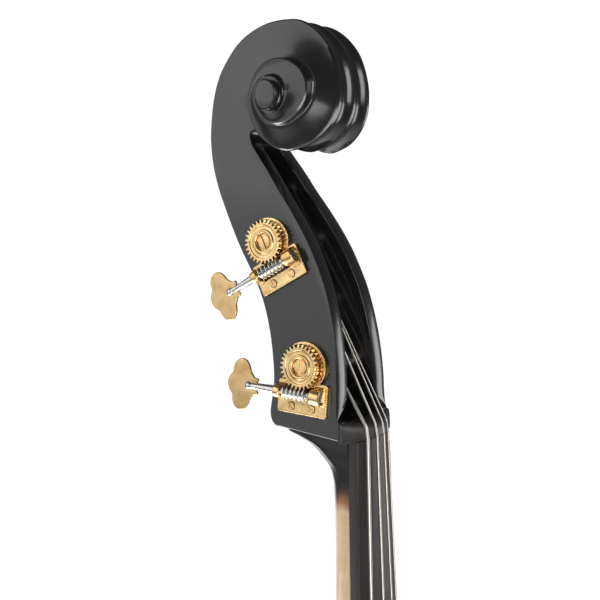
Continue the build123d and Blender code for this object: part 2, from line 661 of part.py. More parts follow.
with BuildPart() as neck_and_scroll:
    # pegbox
    with BuildSketch(side_plane):
        with BuildLine():
            Spline(*CHEEK_FRONT)
            Polyline(CHEEK_FRONT[-1], (-1.2, 15), (0.3, 12.6), (0.5, 3), (-52.4, 13.9), PEGBOX_BACK[0])
            Spline(*PEGBOX_BACK)
            Line(PEGBOX_BACK[-1], CHEEK_FRONT[0])
        make_face()
    extrude(amount=HEAD_CLEAR, both=True)
    with BuildSketch(Plane(origin=neck_point(20, 0), x_dir=(1, 0, 0), z_dir=U_AXIS)):
        with BuildLine():
            Polyline(
                (-pegbox_half(-5), -5), (-pegbox_half(215), 215), (pegbox_half(215), 215), (pegbox_half(-5), -5),
                close=True,
            )
        make_face()
    extrude(amount=-140, mode=Mode.INTERSECT)
    # scroll: three stepped turns and the eyes
    for half, turns in SCROLL_STEPS:
        with BuildSketch(side_plane):
            with BuildLine():
                Spline(*turns, periodic=True)
            make_face()
        extrude(amount=half, both=True)
    with BuildSketch(side_plane):
        with Locations(SCROLL_CENTRE):
            Circle(EYE_R)
    extrude(amount=EYE_HALF, both=True)
    # neck and heel
    for v, half, depth, rounding in NECK_STATIONS:
        with BuildSketch(across_neck(v)):
            add(neck_section(half, depth, rounding))
    loft(ruled=True)
    for z, back_y, half in HEEL_STATIONS:
        front_y = glue_y(z) + HEEL_STEP
        with BuildSketch(Plane(origin=(0, front_y, z), x_dir=(1, 0, 0), z_dir=(0, 0, -1))):
            add(neck_section(half + 2, back_y - front_y, min(26.0, back_y - front_y - 8)))
    loft(ruled=True)
    # the heel sits on the ribs and between the plates' edges
    for y_low, y_high in ((-400, -RIB_HALF_DEPTH + GLUE_LINE), (RIB_HALF_DEPTH - GLUE_LINE, 400)):
        with BuildSketch(Plane.XY.offset(BODY_TOP + GLUE_LINE)):
            with Locations((0, (y_low + y_high) / 2)):
                Rectangle(200, y_high - y_low)
        extrude(amount=-60, mode=Mode.SUBTRACT)
    with BuildSketch(Plane.XY.offset(BODY_TOP - OVERHANG)):
        Rectangle(200, 800)
    extrude(amount=-60, mode=Mode.SUBTRACT)
    # pegbox cavity, narrower towards the scroll
    cavity_low = pegbox_half(13) - CHEEK
    cavity_high = pegbox_half(192) - CHEEK
    with BuildSketch(side_plane) as cavity_side:
        with BuildLine():
            Polyline((-88, 186), (-82, 193), (20, 193), (20, 13.5), (-25, 16.5), (-40, 24))
            Spline(*CAVITY_FLOOR)
        make_face()
    cavity_slab = extrude(amount=HEAD_CLEAR, both=True, mode=Mode.PRIVATE)
    with BuildSketch(Plane(origin=neck_point(30, 0), x_dir=(1, 0, 0), z_dir=U_AXIS)) as cavity_front:
        with BuildLine():
            Polyline((-cavity_low, 13), (-cavity_high, 193), (cavity_high, 193), (cavity_low, 13), close=True)
        make_face()
    cavity_wedge = extrude(amount=-140, mode=Mode.PRIVATE)
    add(cavity_slab & cavity_wedge, mode=Mode.SUBTRACT)
    # post holes and pilot holes
    for name in TUNERS:
        with BuildSketch(SEATS[name].offset(2)):
            Circle(POST_R + BORE_GAP)
        extrude(amount=-2 - post_depth(name) - 0.3, mode=Mode.SUBTRACT)
        for spot_x, spot_y in SCREW_SPOTS:
            with BuildSketch(SEATS[name].offset(2)):
                with Locations((spot_x, -TUNERS[name][2] * spot_y)):
                    Circle(SCREW_R)
            extrude(amount=-14, mode=Mode.SUBTRACT)
finish(neck_and_scroll, "neck_and_scroll")


# ---- fingerboard --------------------------------------------------------------------
def board_section(half, crown):
    """A fingerboard's section: a flat underside and a crowned playing face."""
    with BuildSketch() as section:
        with BuildLine():
            Polyline((-half, BOARD_SIDE), (-half, 0), (half, 0), (half, BOARD_SIDE))
            ThreePointArc((-half, BOARD_SIDE), (0, crown), (half, BOARD_SIDE))
        make_face()
    return section.sketch


CROWN_AT_NUT = 10.2
CROWN_AT_END = 19.0
NUT_GAP = 0.05
with BuildPart() as fingerboard:
    for v, half, crown in (
        (-NUT_GAP, BOARD_HALF_AT_NUT, CROWN_AT_NUT),
        (-BOARD_LENGTH, BOARD_HALF_AT_END, CROWN_AT_END),
    ):
        with BuildSketch(across_neck(v)):
            add(board_section(half, crown))
    loft(ruled=True)
finish(fingerboard, "fingerboard")

# ---- strings ------------------------------------------------------------------------
BRIDGE_CROWN = {"e": 20.0, "a": 31.0, "d": 31.0, "g": 20.0}
NUT_CREST = {"e": 9.35, "a": 11.35, "d": 11.35, "g": 9.35}
TAIL_TOP = (-208.0, 500.0)   # y and z of the tailpiece's string end


def tangent_point(start, centre, reach):
    """Where a line from start first touches a circle about centre, on its forward side."""
    du = start[0] - centre[0]
    dv = start[1] - centre[1]
    angle = atan2(dv, du) + acos(reach / hypot(du, dv))
    return (centre[0] + reach * cos(angle), centre[1] + reach * sin(angle))


strings = {}
for name, (radius, nut_x, bridge_x, post_x) in STRINGS.items():
    post_u, post_v = TUNERS[name][0]
    crest = NUT_CREST[name] + radius
    tuck = (crest - 1.2, 9.5)
    inward = pegbox_half(post_v) - abs(post_x) if post_x * TUNERS[name][2] > 0 else 0
    post_centre = (post_u, post_v - inward * sin(radians(CHEEK_LEAN)))
    touch = tangent_point(tuck, post_centre, POST_R + radius + 0.35)
    with BuildPart() as string:
        with BuildLine() as route:
            FilletPolyline(
                Vector(bridge_x * 0.72, TAIL_TOP[0], TAIL_TOP[1]),
                neck_point(BRIDGE_CROWN[name] + radius, -STRING_LENGTH, bridge_x),
                neck_point(crest, 1.5, nut_x),
                neck_point(*tuck, nut_x),
                neck_point(*touch, post_x),
                radius=[10, 8, 8],
            )
        with BuildSketch(Plane(origin=route.line @ 0, z_dir=route.line % 0)):
            Circle(radius)
        sweep()
    finish(string, f"string_{name}")
    strings[name] = string.part

# ---- nut ----------------------------------------------------------------------------
NUT_LONG = 13.0
NUT_BASE = 0.5
with BuildPart() as nut:
    with BuildSketch(across_neck(0)):
        with BuildLine():
            Polyline((-32, 1.6), (-32, NUT_BASE), (32, NUT_BASE), (32, 1.6))
            Spline((32, 1.6), (25, 5.5), (14, 9.8), (0, 12.1), (-14, 9.8), (-25, 5.5), (-32, 1.6))
        make_face()
    extrude(amount=-NUT_LONG)
    for string in strings.values():
        add(string, mode=Mode.SUBTRACT)
finish(nut, "nut")

# ---- bridge -------------------------------------------------------------------------
BRIDGE_FOOT_X = 62.0
bridge_base = TOP_EDGE + 10  # below the arch, trimmed to it


def string_front(name):
    """How far forward of Y = 0 a string's underside is at the bridge."""
    return -neck_point(BRIDGE_CROWN[name], -STRING_LENGTH).Y


CROWN_FRONT = string_front("a")
CROWN_SIDE = string_front("e")
bridge_plane = Plane(origin=(0, 0, BRIDGE_Z), x_dir=(1, 0, 0), z_dir=(0, 0, -1))

with BuildPart() as bridge:
    with BuildSketch(bridge_plane):
        with BuildLine():
            Polyline((-48, CROWN_SIDE - 6), (-44, CROWN_SIDE))
            Spline(
                (-44, CROWN_SIDE), (-43, CROWN_SIDE), (-14.3, CROWN_FRONT), (0, CROWN_FRONT + 1.3),
                (14.3, CROWN_FRONT), (43, CROWN_SIDE), (44, CROWN_SIDE),
            )
            Polyline((44, CROWN_SIDE), (48, CROWN_SIDE - 6), (50, CROWN_SIDE - 24), (40, CROWN_SIDE - 40))
            Spline((40, CROWN_SIDE - 40), (46, bridge_base + 50), (60, bridge_base + 28), (74, bridge_base + 18))
            Polyline((74, bridge_base + 18), (76, bridge_base), (42, bridge_base), (40, bridge_base + 24))
            ThreePointArc((40, bridge_base + 24), (0, bridge_base + 46), (-40, bridge_base + 24))
            Polyline((-40, bridge_base + 24), (-42, bridge_base), (-76, bridge_base), (-74, bridge_base + 18))
            Spline((-74, bridge_base + 18), (-60, bridge_base + 28), (-46, bridge_base + 50), (-40, CROWN_SIDE - 40))
            Polyline((-40, CROWN_SIDE - 40), (-50, CROWN_SIDE - 24), (-48, CROWN_SIDE - 6))
        make_face()
        # the heart
        with Locations((0, CROWN_SIDE - 30)):
            Ellipse(11, 17, mode=Mode.SUBTRACT)
    extrude(amount=11, both=True)
    # thinner towards the strings
    with BuildSketch(Plane.YZ):
        with BuildLine():
            Polyline(
                (-bridge_base, BRIDGE_Z - 11), (-CROWN_FRONT - 8, BRIDGE_Z - 3.5),
                (-CROWN_FRONT - 8, BRIDGE_Z + 3.5), (-bridge_base, BRIDGE_Z + 11), close=True,
            )
        make_face()
    extrude(amount=100, both=True, mode=Mode.INTERSECT)
    add(behind_front, mode=Mode.SUBTRACT)
    for string in strings.values():
        add(string, mode=Mode.SUBTRACT)
finish(bridge, "bridge")

# ---- tailpiece and its wire, saddle -------------------------------------------------
TAIL_FOOT = (-150.0, 172.0)  # y and z of the tailpiece's lower end
TAIL_HALF_TOP = 44.0
TAIL_HALF_FOOT = 24.0
TAIL_THICK = 13.0
tail_rise = TAIL_TOP[1] - TAIL_FOOT[1]
tail_lean = Vector(0, TAIL_TOP[0] - TAIL_FOOT[0], tail_rise).normalized()
tail_out = Vector(0, -tail_lean.Z, tail_lean.Y)
tail_plane = Plane(origin=(0, *TAIL_FOOT), x_dir=(1, 0, 0), z_dir=tail_out)
tail_length = hypot(TAIL_TOP[0] - TAIL_FOOT[0], tail_rise)

with BuildPart() as tailpiece:
    with BuildSketch(tail_plane.offset(-TAIL_THICK)):
        with BuildLine():
            Polyline(
                (-TAIL_HALF_FOOT, 0), (TAIL_HALF_FOOT, 0), (TAIL_HALF_TOP - 4, tail_length - 60),
                (TAIL_HALF_TOP, tail_length - 8),
            )
            ThreePointArc((TAIL_HALF_TOP, tail_length - 8), (0, tail_length), (-TAIL_HALF_TOP, tail_length - 8))
            Polyline((-TAIL_HALF_TOP, tail_length - 8), (-TAIL_HALF_TOP + 4, tail_length - 60), (-TAIL_HALF_FOOT, 0))
        make_face()
    extrude(amount=TAIL_THICK)
    fillet(tailpiece.faces().sort_by(Axis.Y)[0].edges(), 4)
    # holes for the tail wire
    with BuildSketch(tail_plane.offset(-TAIL_THICK / 2 - 2)):
        with Locations((-9, 0), (9, 0)):
            Rectangle(4.4, 50)
    extrude(amount=4.4, mode=Mode.SUBTRACT)
finish(tailpiece, "tailpiece")

SADDLE_FRONT = TOP_EDGE + 9
with BuildPart() as saddle:
    with BuildSketch(outline_plane(-RIB_HALF_DEPTH)):
        with Locations((0, SADDLE_TALL / 2)):
            Rectangle(2 * SADDLE_HALF, SADDLE_TALL)
    extrude(amount=SADDLE_FRONT - RIB_HALF_DEPTH)
    fillet(saddle.faces().sort_by(Axis.Y)[0].edges().filter_by(Axis.X), 3.5)
finish(saddle, "saddle")

WIRE_R = 2.0
FLANGE_R = 20.0
WIRE_Z = BODY_BOTTOM - WIRE_R - 1
wire_start = tail_plane.from_local_coords((9, 24, -TAIL_THICK / 2))
wire_exit = tail_plane.from_local_coords((9, -3, -TAIL_THICK / 2))
wire_side = FLANGE_R + WIRE_R + 0.4
with BuildPart() as tail_wire:
    with BuildLine() as route:
        FilletPolyline(
            (-wire_start.X, wire_start.Y, wire_start.Z),
            (-wire_exit.X, wire_exit.Y, wire_exit.Z),
            (-9, -SADDLE_FRONT - WIRE_R - 0.2, WIRE_Z),
            (-wire_side, -20, WIRE_Z),
            (-wire_side, wire_side, WIRE_Z),
            (wire_side, wire_side, WIRE_Z),
            (wire_side, -20, WIRE_Z),
            (9, -SADDLE_FRONT - WIRE_R - 0.2, WIRE_Z),
            wire_exit,
            wire_start,
            radius=[3, 4, 10, wire_side - 0.1, wire_side - 0.1, 10, 4, 3],
        )
    with BuildSketch(Plane(origin=route.line @ 0, z_dir=route.line % 0)):
        Circle(WIRE_R)
    sweep()
finish(tail_wire, "tail_wire")

# ---- endpin -------------------------------------------------------------------------
FLANGE_LOW = BODY_BOTTOM - 12
RIB_FACE = BODY_BOTTOM + OVERHANG
CLAMP_Z = FLANGE_LOW + 5
CLAMP_R = 3.0
with BuildPart() as endpin_collar:
    with BuildSketch(Plane.XY.offset(FLANGE_LOW)):
        Circle(FLANGE_R)
    extrude(amount=RIB_FACE - FLANGE_LOW)
    chamfer(endpin_collar.faces().sort_by(Axis.Z)[0].edges(), 2.5)
    with BuildSketch(Plane.XY.offset(RIB_FACE)):
        Circle(COLLAR_R)
    extrude(amount=50)
    with BuildSketch(Plane.XY.offset(FLANGE_LOW)):
        Circle(ENDPIN_R + BORE_GAP)
    extrude(amount=90, mode=Mode.SUBTRACT)
    with BuildSketch(Plane.XZ):
        with Locations((0, CLAMP_Z)):
            Circle(CLAMP_R + BORE_GAP)
    extrude(amount=40, mode=Mode.SUBTRACT)
finish(endpin_collar, "endpin_collar")

ROD_TOP = 430.0
FOOT_TALL = 34.0
FOOT_R = 12.5
with BuildPart() as endpin_rod:
    with BuildSketch(Plane.XY.offset(10)):
        Circle(ENDPIN_R)
    extrude(amount=ROD_TOP - 10)
    chamfer(endpin_rod.faces().sort_by(Axis.Z)[-1].edges(), 1)
finish(endpin_rod, "endpin_rod")

with BuildPart() as endpin_foot:
    with BuildSketch(Plane.XZ):
        with BuildLine():
            Polyline((0, 0), (FOOT_R - 2, 0))
            ThreePointArc((FOOT_R - 2, 0), (FOOT_R - 0.6, 0.6), (FOOT_R, 2))
            Polyline(
                (FOOT_R, 2), (FOOT_R, 14), (8, FOOT_TALL), (ENDPIN_R, FOOT_TALL), (ENDPIN_R, 10), (0, 10), (0, 0),
            )
        make_face()
    revolve(axis=Axis.Z)
finish(endpin_foot, "endpin_foot")

CLAMP_TIP = ENDPIN_R + 0.15
CLAMP_HEAD = FLANGE_R + 1.5
with BuildPart() as endpin_screw:
    with BuildSketch(Plane.XZ.offset(CLAMP_TIP)):
        with Locations((0, CLAMP_Z)):
            Circle(CLAMP_R)
    extrude(amount=CLAMP_HEAD - CLAMP_TIP)
    with BuildSketch(Plane.XZ.offset(CLAMP_HEAD)):
        with Locations((0, CLAMP_Z)):
            Circle(5)
            SlotOverall(22, 7)
    extrude(amount=5)
finish(endpin_screw, "endpin_screw")
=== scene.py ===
"""Looks of the double bass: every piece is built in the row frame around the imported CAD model."""
import json
import math

import bmesh
import bpy
from mathutils import Matrix, Vector


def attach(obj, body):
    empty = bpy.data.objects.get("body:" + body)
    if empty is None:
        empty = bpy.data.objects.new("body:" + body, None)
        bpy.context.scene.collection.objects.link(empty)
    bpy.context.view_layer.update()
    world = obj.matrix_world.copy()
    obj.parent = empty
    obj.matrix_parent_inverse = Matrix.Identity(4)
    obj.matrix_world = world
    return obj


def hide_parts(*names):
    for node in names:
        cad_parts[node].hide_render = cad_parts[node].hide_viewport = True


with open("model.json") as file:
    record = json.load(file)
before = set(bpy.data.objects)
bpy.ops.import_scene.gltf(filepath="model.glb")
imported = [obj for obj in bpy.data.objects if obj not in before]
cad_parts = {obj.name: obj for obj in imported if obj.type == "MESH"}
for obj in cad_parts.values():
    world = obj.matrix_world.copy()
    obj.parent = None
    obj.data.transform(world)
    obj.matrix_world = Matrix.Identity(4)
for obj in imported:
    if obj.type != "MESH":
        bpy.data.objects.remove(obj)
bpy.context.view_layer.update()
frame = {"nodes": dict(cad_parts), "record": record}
NODES = frame["nodes"]
MM = 0.001

# ---- the neck's frame: u towards the front, v up the neck, x across, in mm ------------
TILT = math.radians(9.5)
NUT_ORIGIN = Vector((0, -74.554, 1678.897))
U_AXIS = Vector((0, -math.cos(TILT), math.sin(TILT)))
V_AXIS = Vector((0, math.sin(TILT), math.cos(TILT)))
X_AXIS = Vector((1, 0, 0))
CHEEK_LEAN = math.atan(0.0543)


def neck(u, v, x=0.0):
    """The point in the row frame, in metres, at u, v, x of the neck's frame."""
    return (NUT_ORIGIN + U_AXIS * u + V_AXIS * v + X_AXIS * x) * MM


def pegbox_half(v):
    """Half of the pegbox's outer width at v."""
    return 32.4 - 0.0543 * v


# ---- curves ----------------------------------------------------------------------------
def catmull(points, steps=14, closed=False):
    """A smooth line through points of any dimension, as many short steps."""
    rows = [tuple(float(c) for c in p) for p in points]
    count = len(rows)
    spans = count if closed else count - 1
    line = []
    for i in range(spans):
        p1, p2 = rows[i], rows[(i + 1) % count]
        p0 = rows[i - 1] if (i > 0 or closed) else tuple(2 * a - b for a, b in zip(p1, p2))
        p3 = rows[(i + 2) % count] if (i + 2 < count or closed) else tuple(2 * b - a for a, b in zip(p1, p2))
        for k in range(steps):
            t = k / steps
            line.append(tuple(
                0.5 * (2 * b + (c - a) * t + (2 * a - 5 * b + 4 * c - d) * t * t + (3 * b - a - 3 * c + d) * t ** 3)
                for a, b, c, d in zip(p0, p1, p2, p3)
            ))
    if not closed:
        line.append(rows[-1])
    return line


def lengths(line, dims=2):
    """Distance along a line to each of its points."""
    total, out = 0.0, [0.0]
    for a, b in zip(line, line[1:]):
        total += math.dist(a[:dims], b[:dims])
        out.append(total)
    return out


def at_length(line, along, place):
    """The point of a line at a distance along it."""
    if place <= 0:
        return line[0]
    for i in range(1, len(along)):
        if along[i] >= place:
            t = (place - along[i - 1]) / max(1e-9, along[i] - along[i - 1])
            return tuple(a + (b - a) * t for a, b in zip(line[i - 1], line[i]))
    return line[-1]


def even(points, count, dims=2, smooth=True):
    """count points evenly spaced along the smooth line through points."""
    line = catmull(points) if smooth else [tuple(p) for p in points]
    along = lengths(line, dims)
    return [at_length(line, along, along[-1] * i / (count - 1)) for i in range(count)]


def table(rows, key):
    """A value from rows of (key, value, ...) eased linearly between them, as a tuple."""
    if key <= rows[0][0]:
        return rows[0][1:]
    for a, b in zip(rows, rows[1:]):
        if key <= b[0]:
            t = (key - a[0]) / (b[0] - a[0])
            return tuple(p + (q - p) * t for p, q in zip(a[1:], b[1:]))
    return rows[-1][1:]


def ease(t):
    t = min(1.0, max(0.0, t))
    return t * t * (3 - 2 * t)


# ---- meshes ----------------------------------------------------------------------------
class Shape:
    """Collects vertices and faces, then becomes one object."""

    def __init__(self):
        self.points = []
        self.faces = []
        self.paint = []

    def sheet(self, rows, closed_rows=False, closed_columns=False, paint=0):
        """Quads over a grid of points: rows of equally many points."""
        base, width = len(self.points), len(rows[0])
        for row in rows:
            self.points.extend(row)
        count = len(rows)
        for i in range(count if closed_rows else count - 1):
            for j in range(width if closed_columns else width - 1):
                a = base + i * width + j
                b = base + i * width + (j + 1) % width
                c = base + ((i + 1) % count) * width + (j + 1) % width
                d = base + ((i + 1) % count) * width + j
                self.faces.append((a, b, c, d))
                self.paint.append(paint)

    def cap(self, ring, paint=0):
        """A fan over a closed ring of points."""
        base = len(self.points)
        centre = sum(ring, Vector()) / len(ring)
        self.points.extend(ring)
        self.points.append(centre)
        for i in range(len(ring)):
            self.faces.append((base + i, base + (i + 1) % len(ring), base + len(ring)))
            self.paint.append(paint)

    def add(self, other, matrix=None, paint=0):
        """Another shape's points and faces, placed by a matrix."""
        base = len(self.points)
        self.points.extend((matrix @ Vector(p)) if matrix else Vector(p) for p in other.points)
        self.faces.extend(tuple(base + i for i in f) for f in other.faces)
        self.paint.extend(paint for _ in other.faces)

    def build(self, name, materials, sharp=35.0, matrix=None, weld=2e-6):
        """The object, with merged points, outward faces and edges sharper than an angle kept sharp."""
        mesh = bpy.data.meshes.new(name)
        mesh.from_pydata([tuple(matrix @ Vector(p)) if matrix else tuple(p) for p in self.points], [], self.faces)
        for polygon, paint in zip(mesh.polygons, self.paint):
            polygon.material_index = paint
        edit = bmesh.new()
        edit.from_mesh(mesh)
        bmesh.ops.remove_doubles(edit, verts=edit.verts, dist=weld)
        bmesh.ops.dissolve_degenerate(edit, edges=edit.edges, dist=weld)
        bmesh.ops.recalc_face_normals(edit, faces=edit.faces)
        edit.to_mesh(mesh)
        edit.free()
        return dress(mesh, name, materials, sharp)


def dress(mesh, name, materials, sharp):
    """An object for a mesh, with its materials and smooth shading between sharp edges."""
    for polygon in mesh.polygons:
        polygon.use_smooth = True
    mesh.set_sharp_from_angle(angle=math.radians(sharp))
    mesh.materials.clear()
    for material in materials:
        mesh.materials.append(material)
    thing = bpy.data.objects.new(name, mesh)
    bpy.context.scene.collection.objects.link(thing)
    return thing


def lathe(profile, steps=64):
    """A turned shape about local Z from (radius, z) pairs."""
    shape = Shape()
    rows = []
    for radius, z in profile:
        radius = max(radius, 1e-5)
        rows.append([
            Vector((radius * math.cos(2 * math.pi * k / steps), radius * math.sin(2 * math.pi * k / steps), z))
            for k in range(steps)
        ])
    shape.sheet(rows, closed_columns=True)
    return shape


def outline_mesh(loops, low, high, bevel, smooth_steps=3):
    """A flat piece with rounded edges: closed loops of (x, y), the first is the outside, the others are holes."""
    data = bpy.data.curves.new("outline", "CURVE")
    data.dimensions = "2D"
    data.fill_mode = "BOTH"
    data.extrude = (high - low) / 2 - bevel
    data.bevel_depth = bevel
    data.bevel_resolution = smooth_steps
    data.offset = -bevel
    for loop in loops:
        spline = data.splines.new("POLY")
        spline.points.add(len(loop) - 1)
        for point, (x, y) in zip(spline.points, loop):
            point.co = (x, y, 0, 1)
        spline.use_cyclic_u = True
    holder = bpy.data.objects.new("outline", data)
    bpy.context.scene.collection.objects.link(holder)
    bpy.context.view_layer.update()
    mesh = bpy.data.meshes.new_from_object(holder.evaluated_get(bpy.context.evaluated_depsgraph_get()))
    shape = Shape()
    shape.points = [Vector((v.co.x, v.co.y, v.co.z + (low + high) / 2)) for v in mesh.vertices]
    shape.faces = [tuple(p.vertices) for p in mesh.polygons]
    shape.paint = [0] * len(shape.faces)
    bpy.data.objects.remove(holder)
    bpy.data.meshes.remove(mesh)
    bpy.data.curves.remove(data)
    return shape


def circle(radius, centre=(0, 0), steps=64, turn=1):
    return [
        (centre[0] + radius * math.cos(turn * 2 * math.pi * k / steps),
         centre[1] + radius * math.sin(turn * 2 * math.pi * k / steps))
        for k in range(steps)
    ]


def tube(route, radius, steps=16, turn_points=None):
    """A round tube along a line of points, closed at its ends."""
    shape = Shape()
    rows = []
    normal = None
    for i, point in enumerate(route):
        ahead = (route[min(i + 1, len(route) - 1)] - route[max(i - 1, 0)]).normalized()
        if normal is None:
            normal = ahead.orthogonal().normalized()
        normal = (normal - ahead * normal.dot(ahead)).normalized()
        side = ahead.cross(normal)
        width = radius(i / (len(route) - 1)) if callable(radius) else radius
        rows.append([
            point + (normal * math.cos(2 * math.pi * k / steps) + side * math.sin(2 * math.pi * k / steps)) * width
            for k in range(steps)
        ])
    shape.sheet(rows, closed_columns=True)
    shape.cap(rows[0])
    shape.cap(rows[-1])
    return shape


# ---- materials -------------------------------------------------------------------------
class Paint:
    """A procedural material under construction."""

    def __init__(self, name):
        self.material = bpy.data.materials.new(name)
        self.material.use_nodes = True
        self.tree = self.material.node_tree
        self.shader = self.tree.nodes["Principled BSDF"]
        self.place = self.tree.nodes.new("ShaderNodeTexCoord").outputs["Object"]

    def node(self, kind, **values):
        made = self.tree.nodes.new(kind)
        for key, value in values.items():
            if key in made.inputs:
                made.inputs[key].default_value = value
            else:
                setattr(made, key, value)
        return made

    def link(self, out, into):
        self.tree.links.new(out, into)

    def mapped(self, scale, rotation=(0, 0, 0)):
        """Object coordinates, stretched."""
        mapping = self.node("ShaderNodeMapping")
        mapping.inputs["Scale"].default_value = scale
        mapping.inputs["Rotation"].default_value = rotation
        self.link(self.place, mapping.inputs["Vector"])
        return mapping.outputs["Vector"]

    def noise(self, scale, detail=4.0, rough=0.5, vector=None, distortion=0.0):
        made = self.node("ShaderNodeTexNoise")
        made.inputs["Scale"].default_value = scale
        made.inputs["Detail"].default_value = detail
        made.inputs["Roughness"].default_value = rough
        made.inputs["Distortion"].default_value = distortion
        self.link(vector or self.place, made.inputs["Vector"])
        return made.outputs["Fac"]

    def ramp(self, fac, stops):
        made = self.node("ShaderNodeValToRGB")
        elements = made.color_ramp.elements
        while len(elements) < len(stops):
            elements.new(0.5)
        for element, (place, colour) in zip(elements, stops):
            element.position = place
            element.color = (*colour, 1)
        self.link(fac, made.inputs["Fac"])
        return made.outputs["Color"]

    def span(self, value, low, high, to_low, to_high):
        made = self.node("ShaderNodeMapRange")
        for key, number in (("From Min", low), ("From Max", high), ("To Min", to_low), ("To Max", to_high)):
            made.inputs[key].default_value = number
        self.link(value, made.inputs["Value"])
        return made.outputs["Result"]

    def mix(self, fac, a, b, kind="MIX"):
        made = self.node("ShaderNodeMix", data_type="RGBA", blend_type=kind)
        if isinstance(fac, float):
            made.inputs[0].default_value = fac
        else:
            self.link(fac, made.inputs[0])
        for socket, value in ((made.inputs[6], a), (made.inputs[7], b)):
            if isinstance(value, tuple):
                socket.default_value = (*value, 1)
            else:
                self.link(value, socket)
        return made.outputs[2]

    def bump(self, heights):
        """Several (height, distance in metres, strength) layers of bump on the shader's normal."""
        last = None
        for height, distance, strength in heights:
            made = self.node("ShaderNodeBump")
            made.inputs["Strength"].default_value = strength
            made.inputs["Distance"].default_value = distance
            self.link(height, made.inputs["Height"])
            if last is not None:
                self.link(last, made.inputs["Normal"])
            last = made.outputs["Normal"]
        self.link(last, self.shader.inputs["Normal"])

    def set(self, **values):
        for key, value in values.items():
            socket = self.shader.inputs[key.replace("_", " ")]
            if hasattr(value, "is_linked"):
                self.link(value, socket)
            elif isinstance(value, tuple):
                socket.default_value = (*value, 1)
            else:
                socket.default_value = value

    def done(self):
        return self.material


def black_lacquer():
    """Satin black lacquer: faint grain under it, soft variation of gloss, fine dust."""
    p = Paint("black_lacquer")
    grain = p.noise(1.0, 5, 0.6, p.mapped((260, 260, 26)))
    cloud = p.noise(38.0, 3, 0.5)
    fine = p.noise(2600.0, 2, 0.5)
    p.set(
        Base_Color=p.ramp(p.noise(14.0, 4, 0.6), ((0.3, (0.006, 0.006, 0.0065)), (0.7, (0.011, 0.0105, 0.011)))),
        Roughness=p.span(cloud, 0.3, 0.7, 0.18, 0.25),
        Coat_Weight=0.35, Coat_Roughness=0.12, Specular_IOR_Level=0.62,
    )
    p.bump(((grain, 0.00004, 0.25), (fine, 0.00001, 0.25)))
    return p.done()


def cavity_stain():
    """The pegbox's inside: dark red-brown stain with the maple's grain under it."""
    p = Paint("pegbox_inside_stain")
    grain = p.noise(1.0, 6, 0.65, p.mapped((420, 420, 30)))
    patches = p.noise(45.0, 4, 0.6)
    colour = p.mix(
        p.span(patches, 0.35, 0.7, 0.0, 0.8),
        p.ramp(grain, ((0.3, (0.020, 0.015, 0.014)), (0.75, (0.044, 0.031, 0.026)))),
        (0.056, 0.032, 0.024),
    )
    p.set(Base_Color=colour, Roughness=p.span(grain, 0.3, 0.7, 0.36, 0.52), Coat_Weight=0.1, Coat_Roughness=0.3)
    p.bump(((grain, 0.00012, 0.5),))
    return p.done()


def neck_finish():
    """Flamed maple, rubbed with oil along the neck, that fades into the black lacquer towards the pegbox."""
    p = Paint("neck_maple_and_lacquer")
    along = p.node("ShaderNodeVectorMath", operation="DOT_PRODUCT")
    p.link(p.place, along.inputs[0])
    along.inputs[1].default_value = tuple(V_AXIS)
    level = NUT_ORIGIN.dot(V_AXIS) * MM
    edge_noise = p.noise(55.0, 4, 0.6)
    wobble = p.node("ShaderNodeMath", operation="MULTIPLY_ADD")
    p.link(edge_noise, wobble.inputs[0])
    wobble.inputs[1].default_value = 0.016
    p.link(along.outputs["Value"], wobble.inputs[2])
    upper = p.span(wobble.outputs[0], level - 0.041, level - 0.019, 0.0, 1.0)
    lower = p.span(wobble.outputs[0], level - 0.335, level - 0.300, 1.0, 0.0)
    black = p.node("ShaderNodeMath", operation="MAXIMUM")
    p.link(upper, black.inputs[0])
    p.link(lower, black.inputs[1])
    grain = p.noise(1.0, 5, 0.55, p.mapped((330, 330, 7)))
    flame = p.noise(1.0, 3, 0.5, p.mapped((6, 30, 110)), 0.6)
    maple = p.mix(0.28, p.ramp(grain, ((0.25, (0.42, 0.29, 0.16)), (0.75, (0.56, 0.42, 0.26)))),
                  p.ramp(flame, ((0.35, (0.41, 0.28, 0.16)), (0.65, (0.60, 0.46, 0.30)))))
    edge = p.ramp(black.outputs[0], ((0.0, (1.0, 1.0, 1.0)), (0.35, (0.50, 0.32, 0.20)), (0.8, (0.05, 0.035, 0.03))))
    tinted = p.mix(1.0, maple, edge, "MULTIPLY")
    colour = p.mix(p.span(black.outputs[0], 0.45, 1.0, 0.0, 1.0), tinted, (0.008, 0.0078, 0.008))
    p.set(Base_Color=colour, Roughness=p.span(black.outputs[0], 0.0, 1.0, 0.42, 0.27),
          Coat_Weight=0.25, Coat_Roughness=0.15, Specular_IOR_Level=0.55)
    p.bump(((grain, 0.00006, 0.3),))
    return p.done()


def ebony(name="oiled_ebony", lightness=1.0, rough=0.46):
    """Ebony: near-black brown with fine, long, paler streaks and open pores."""
    p = Paint(name)
    streaks = p.noise(1.0, 8, 0.7, p.mapped((900, 900, 14)))
    wide = p.noise(1.0, 3, 0.5, p.mapped((120, 120, 5)))
    pores = p.noise(1.0, 2, 0.5, p.mapped((2400, 2400, 60)))
    colour = p.mix(
        p.span(wide, 0.35, 0.7, 0.0, 0.7),
        p.ramp(streaks, ((0.3, (0.010 * lightness, 0.009 * lightness, 0.0085 * lightness)),
                         (0.75, (0.026 * lightness, 0.023 * lightness, 0.021 * lightness)))),
        (0.019 * lightness, 0.0155 * lightness, 0.013 * lightness),
    )
    p.set(Base_Color=colour, Roughness=p.span(streaks, 0.3, 0.7, rough - 0.06, rough + 0.08))
    p.bump(((pores, 0.00005, 0.35), (streaks, 0.00005, 0.3)))
    return p.done()


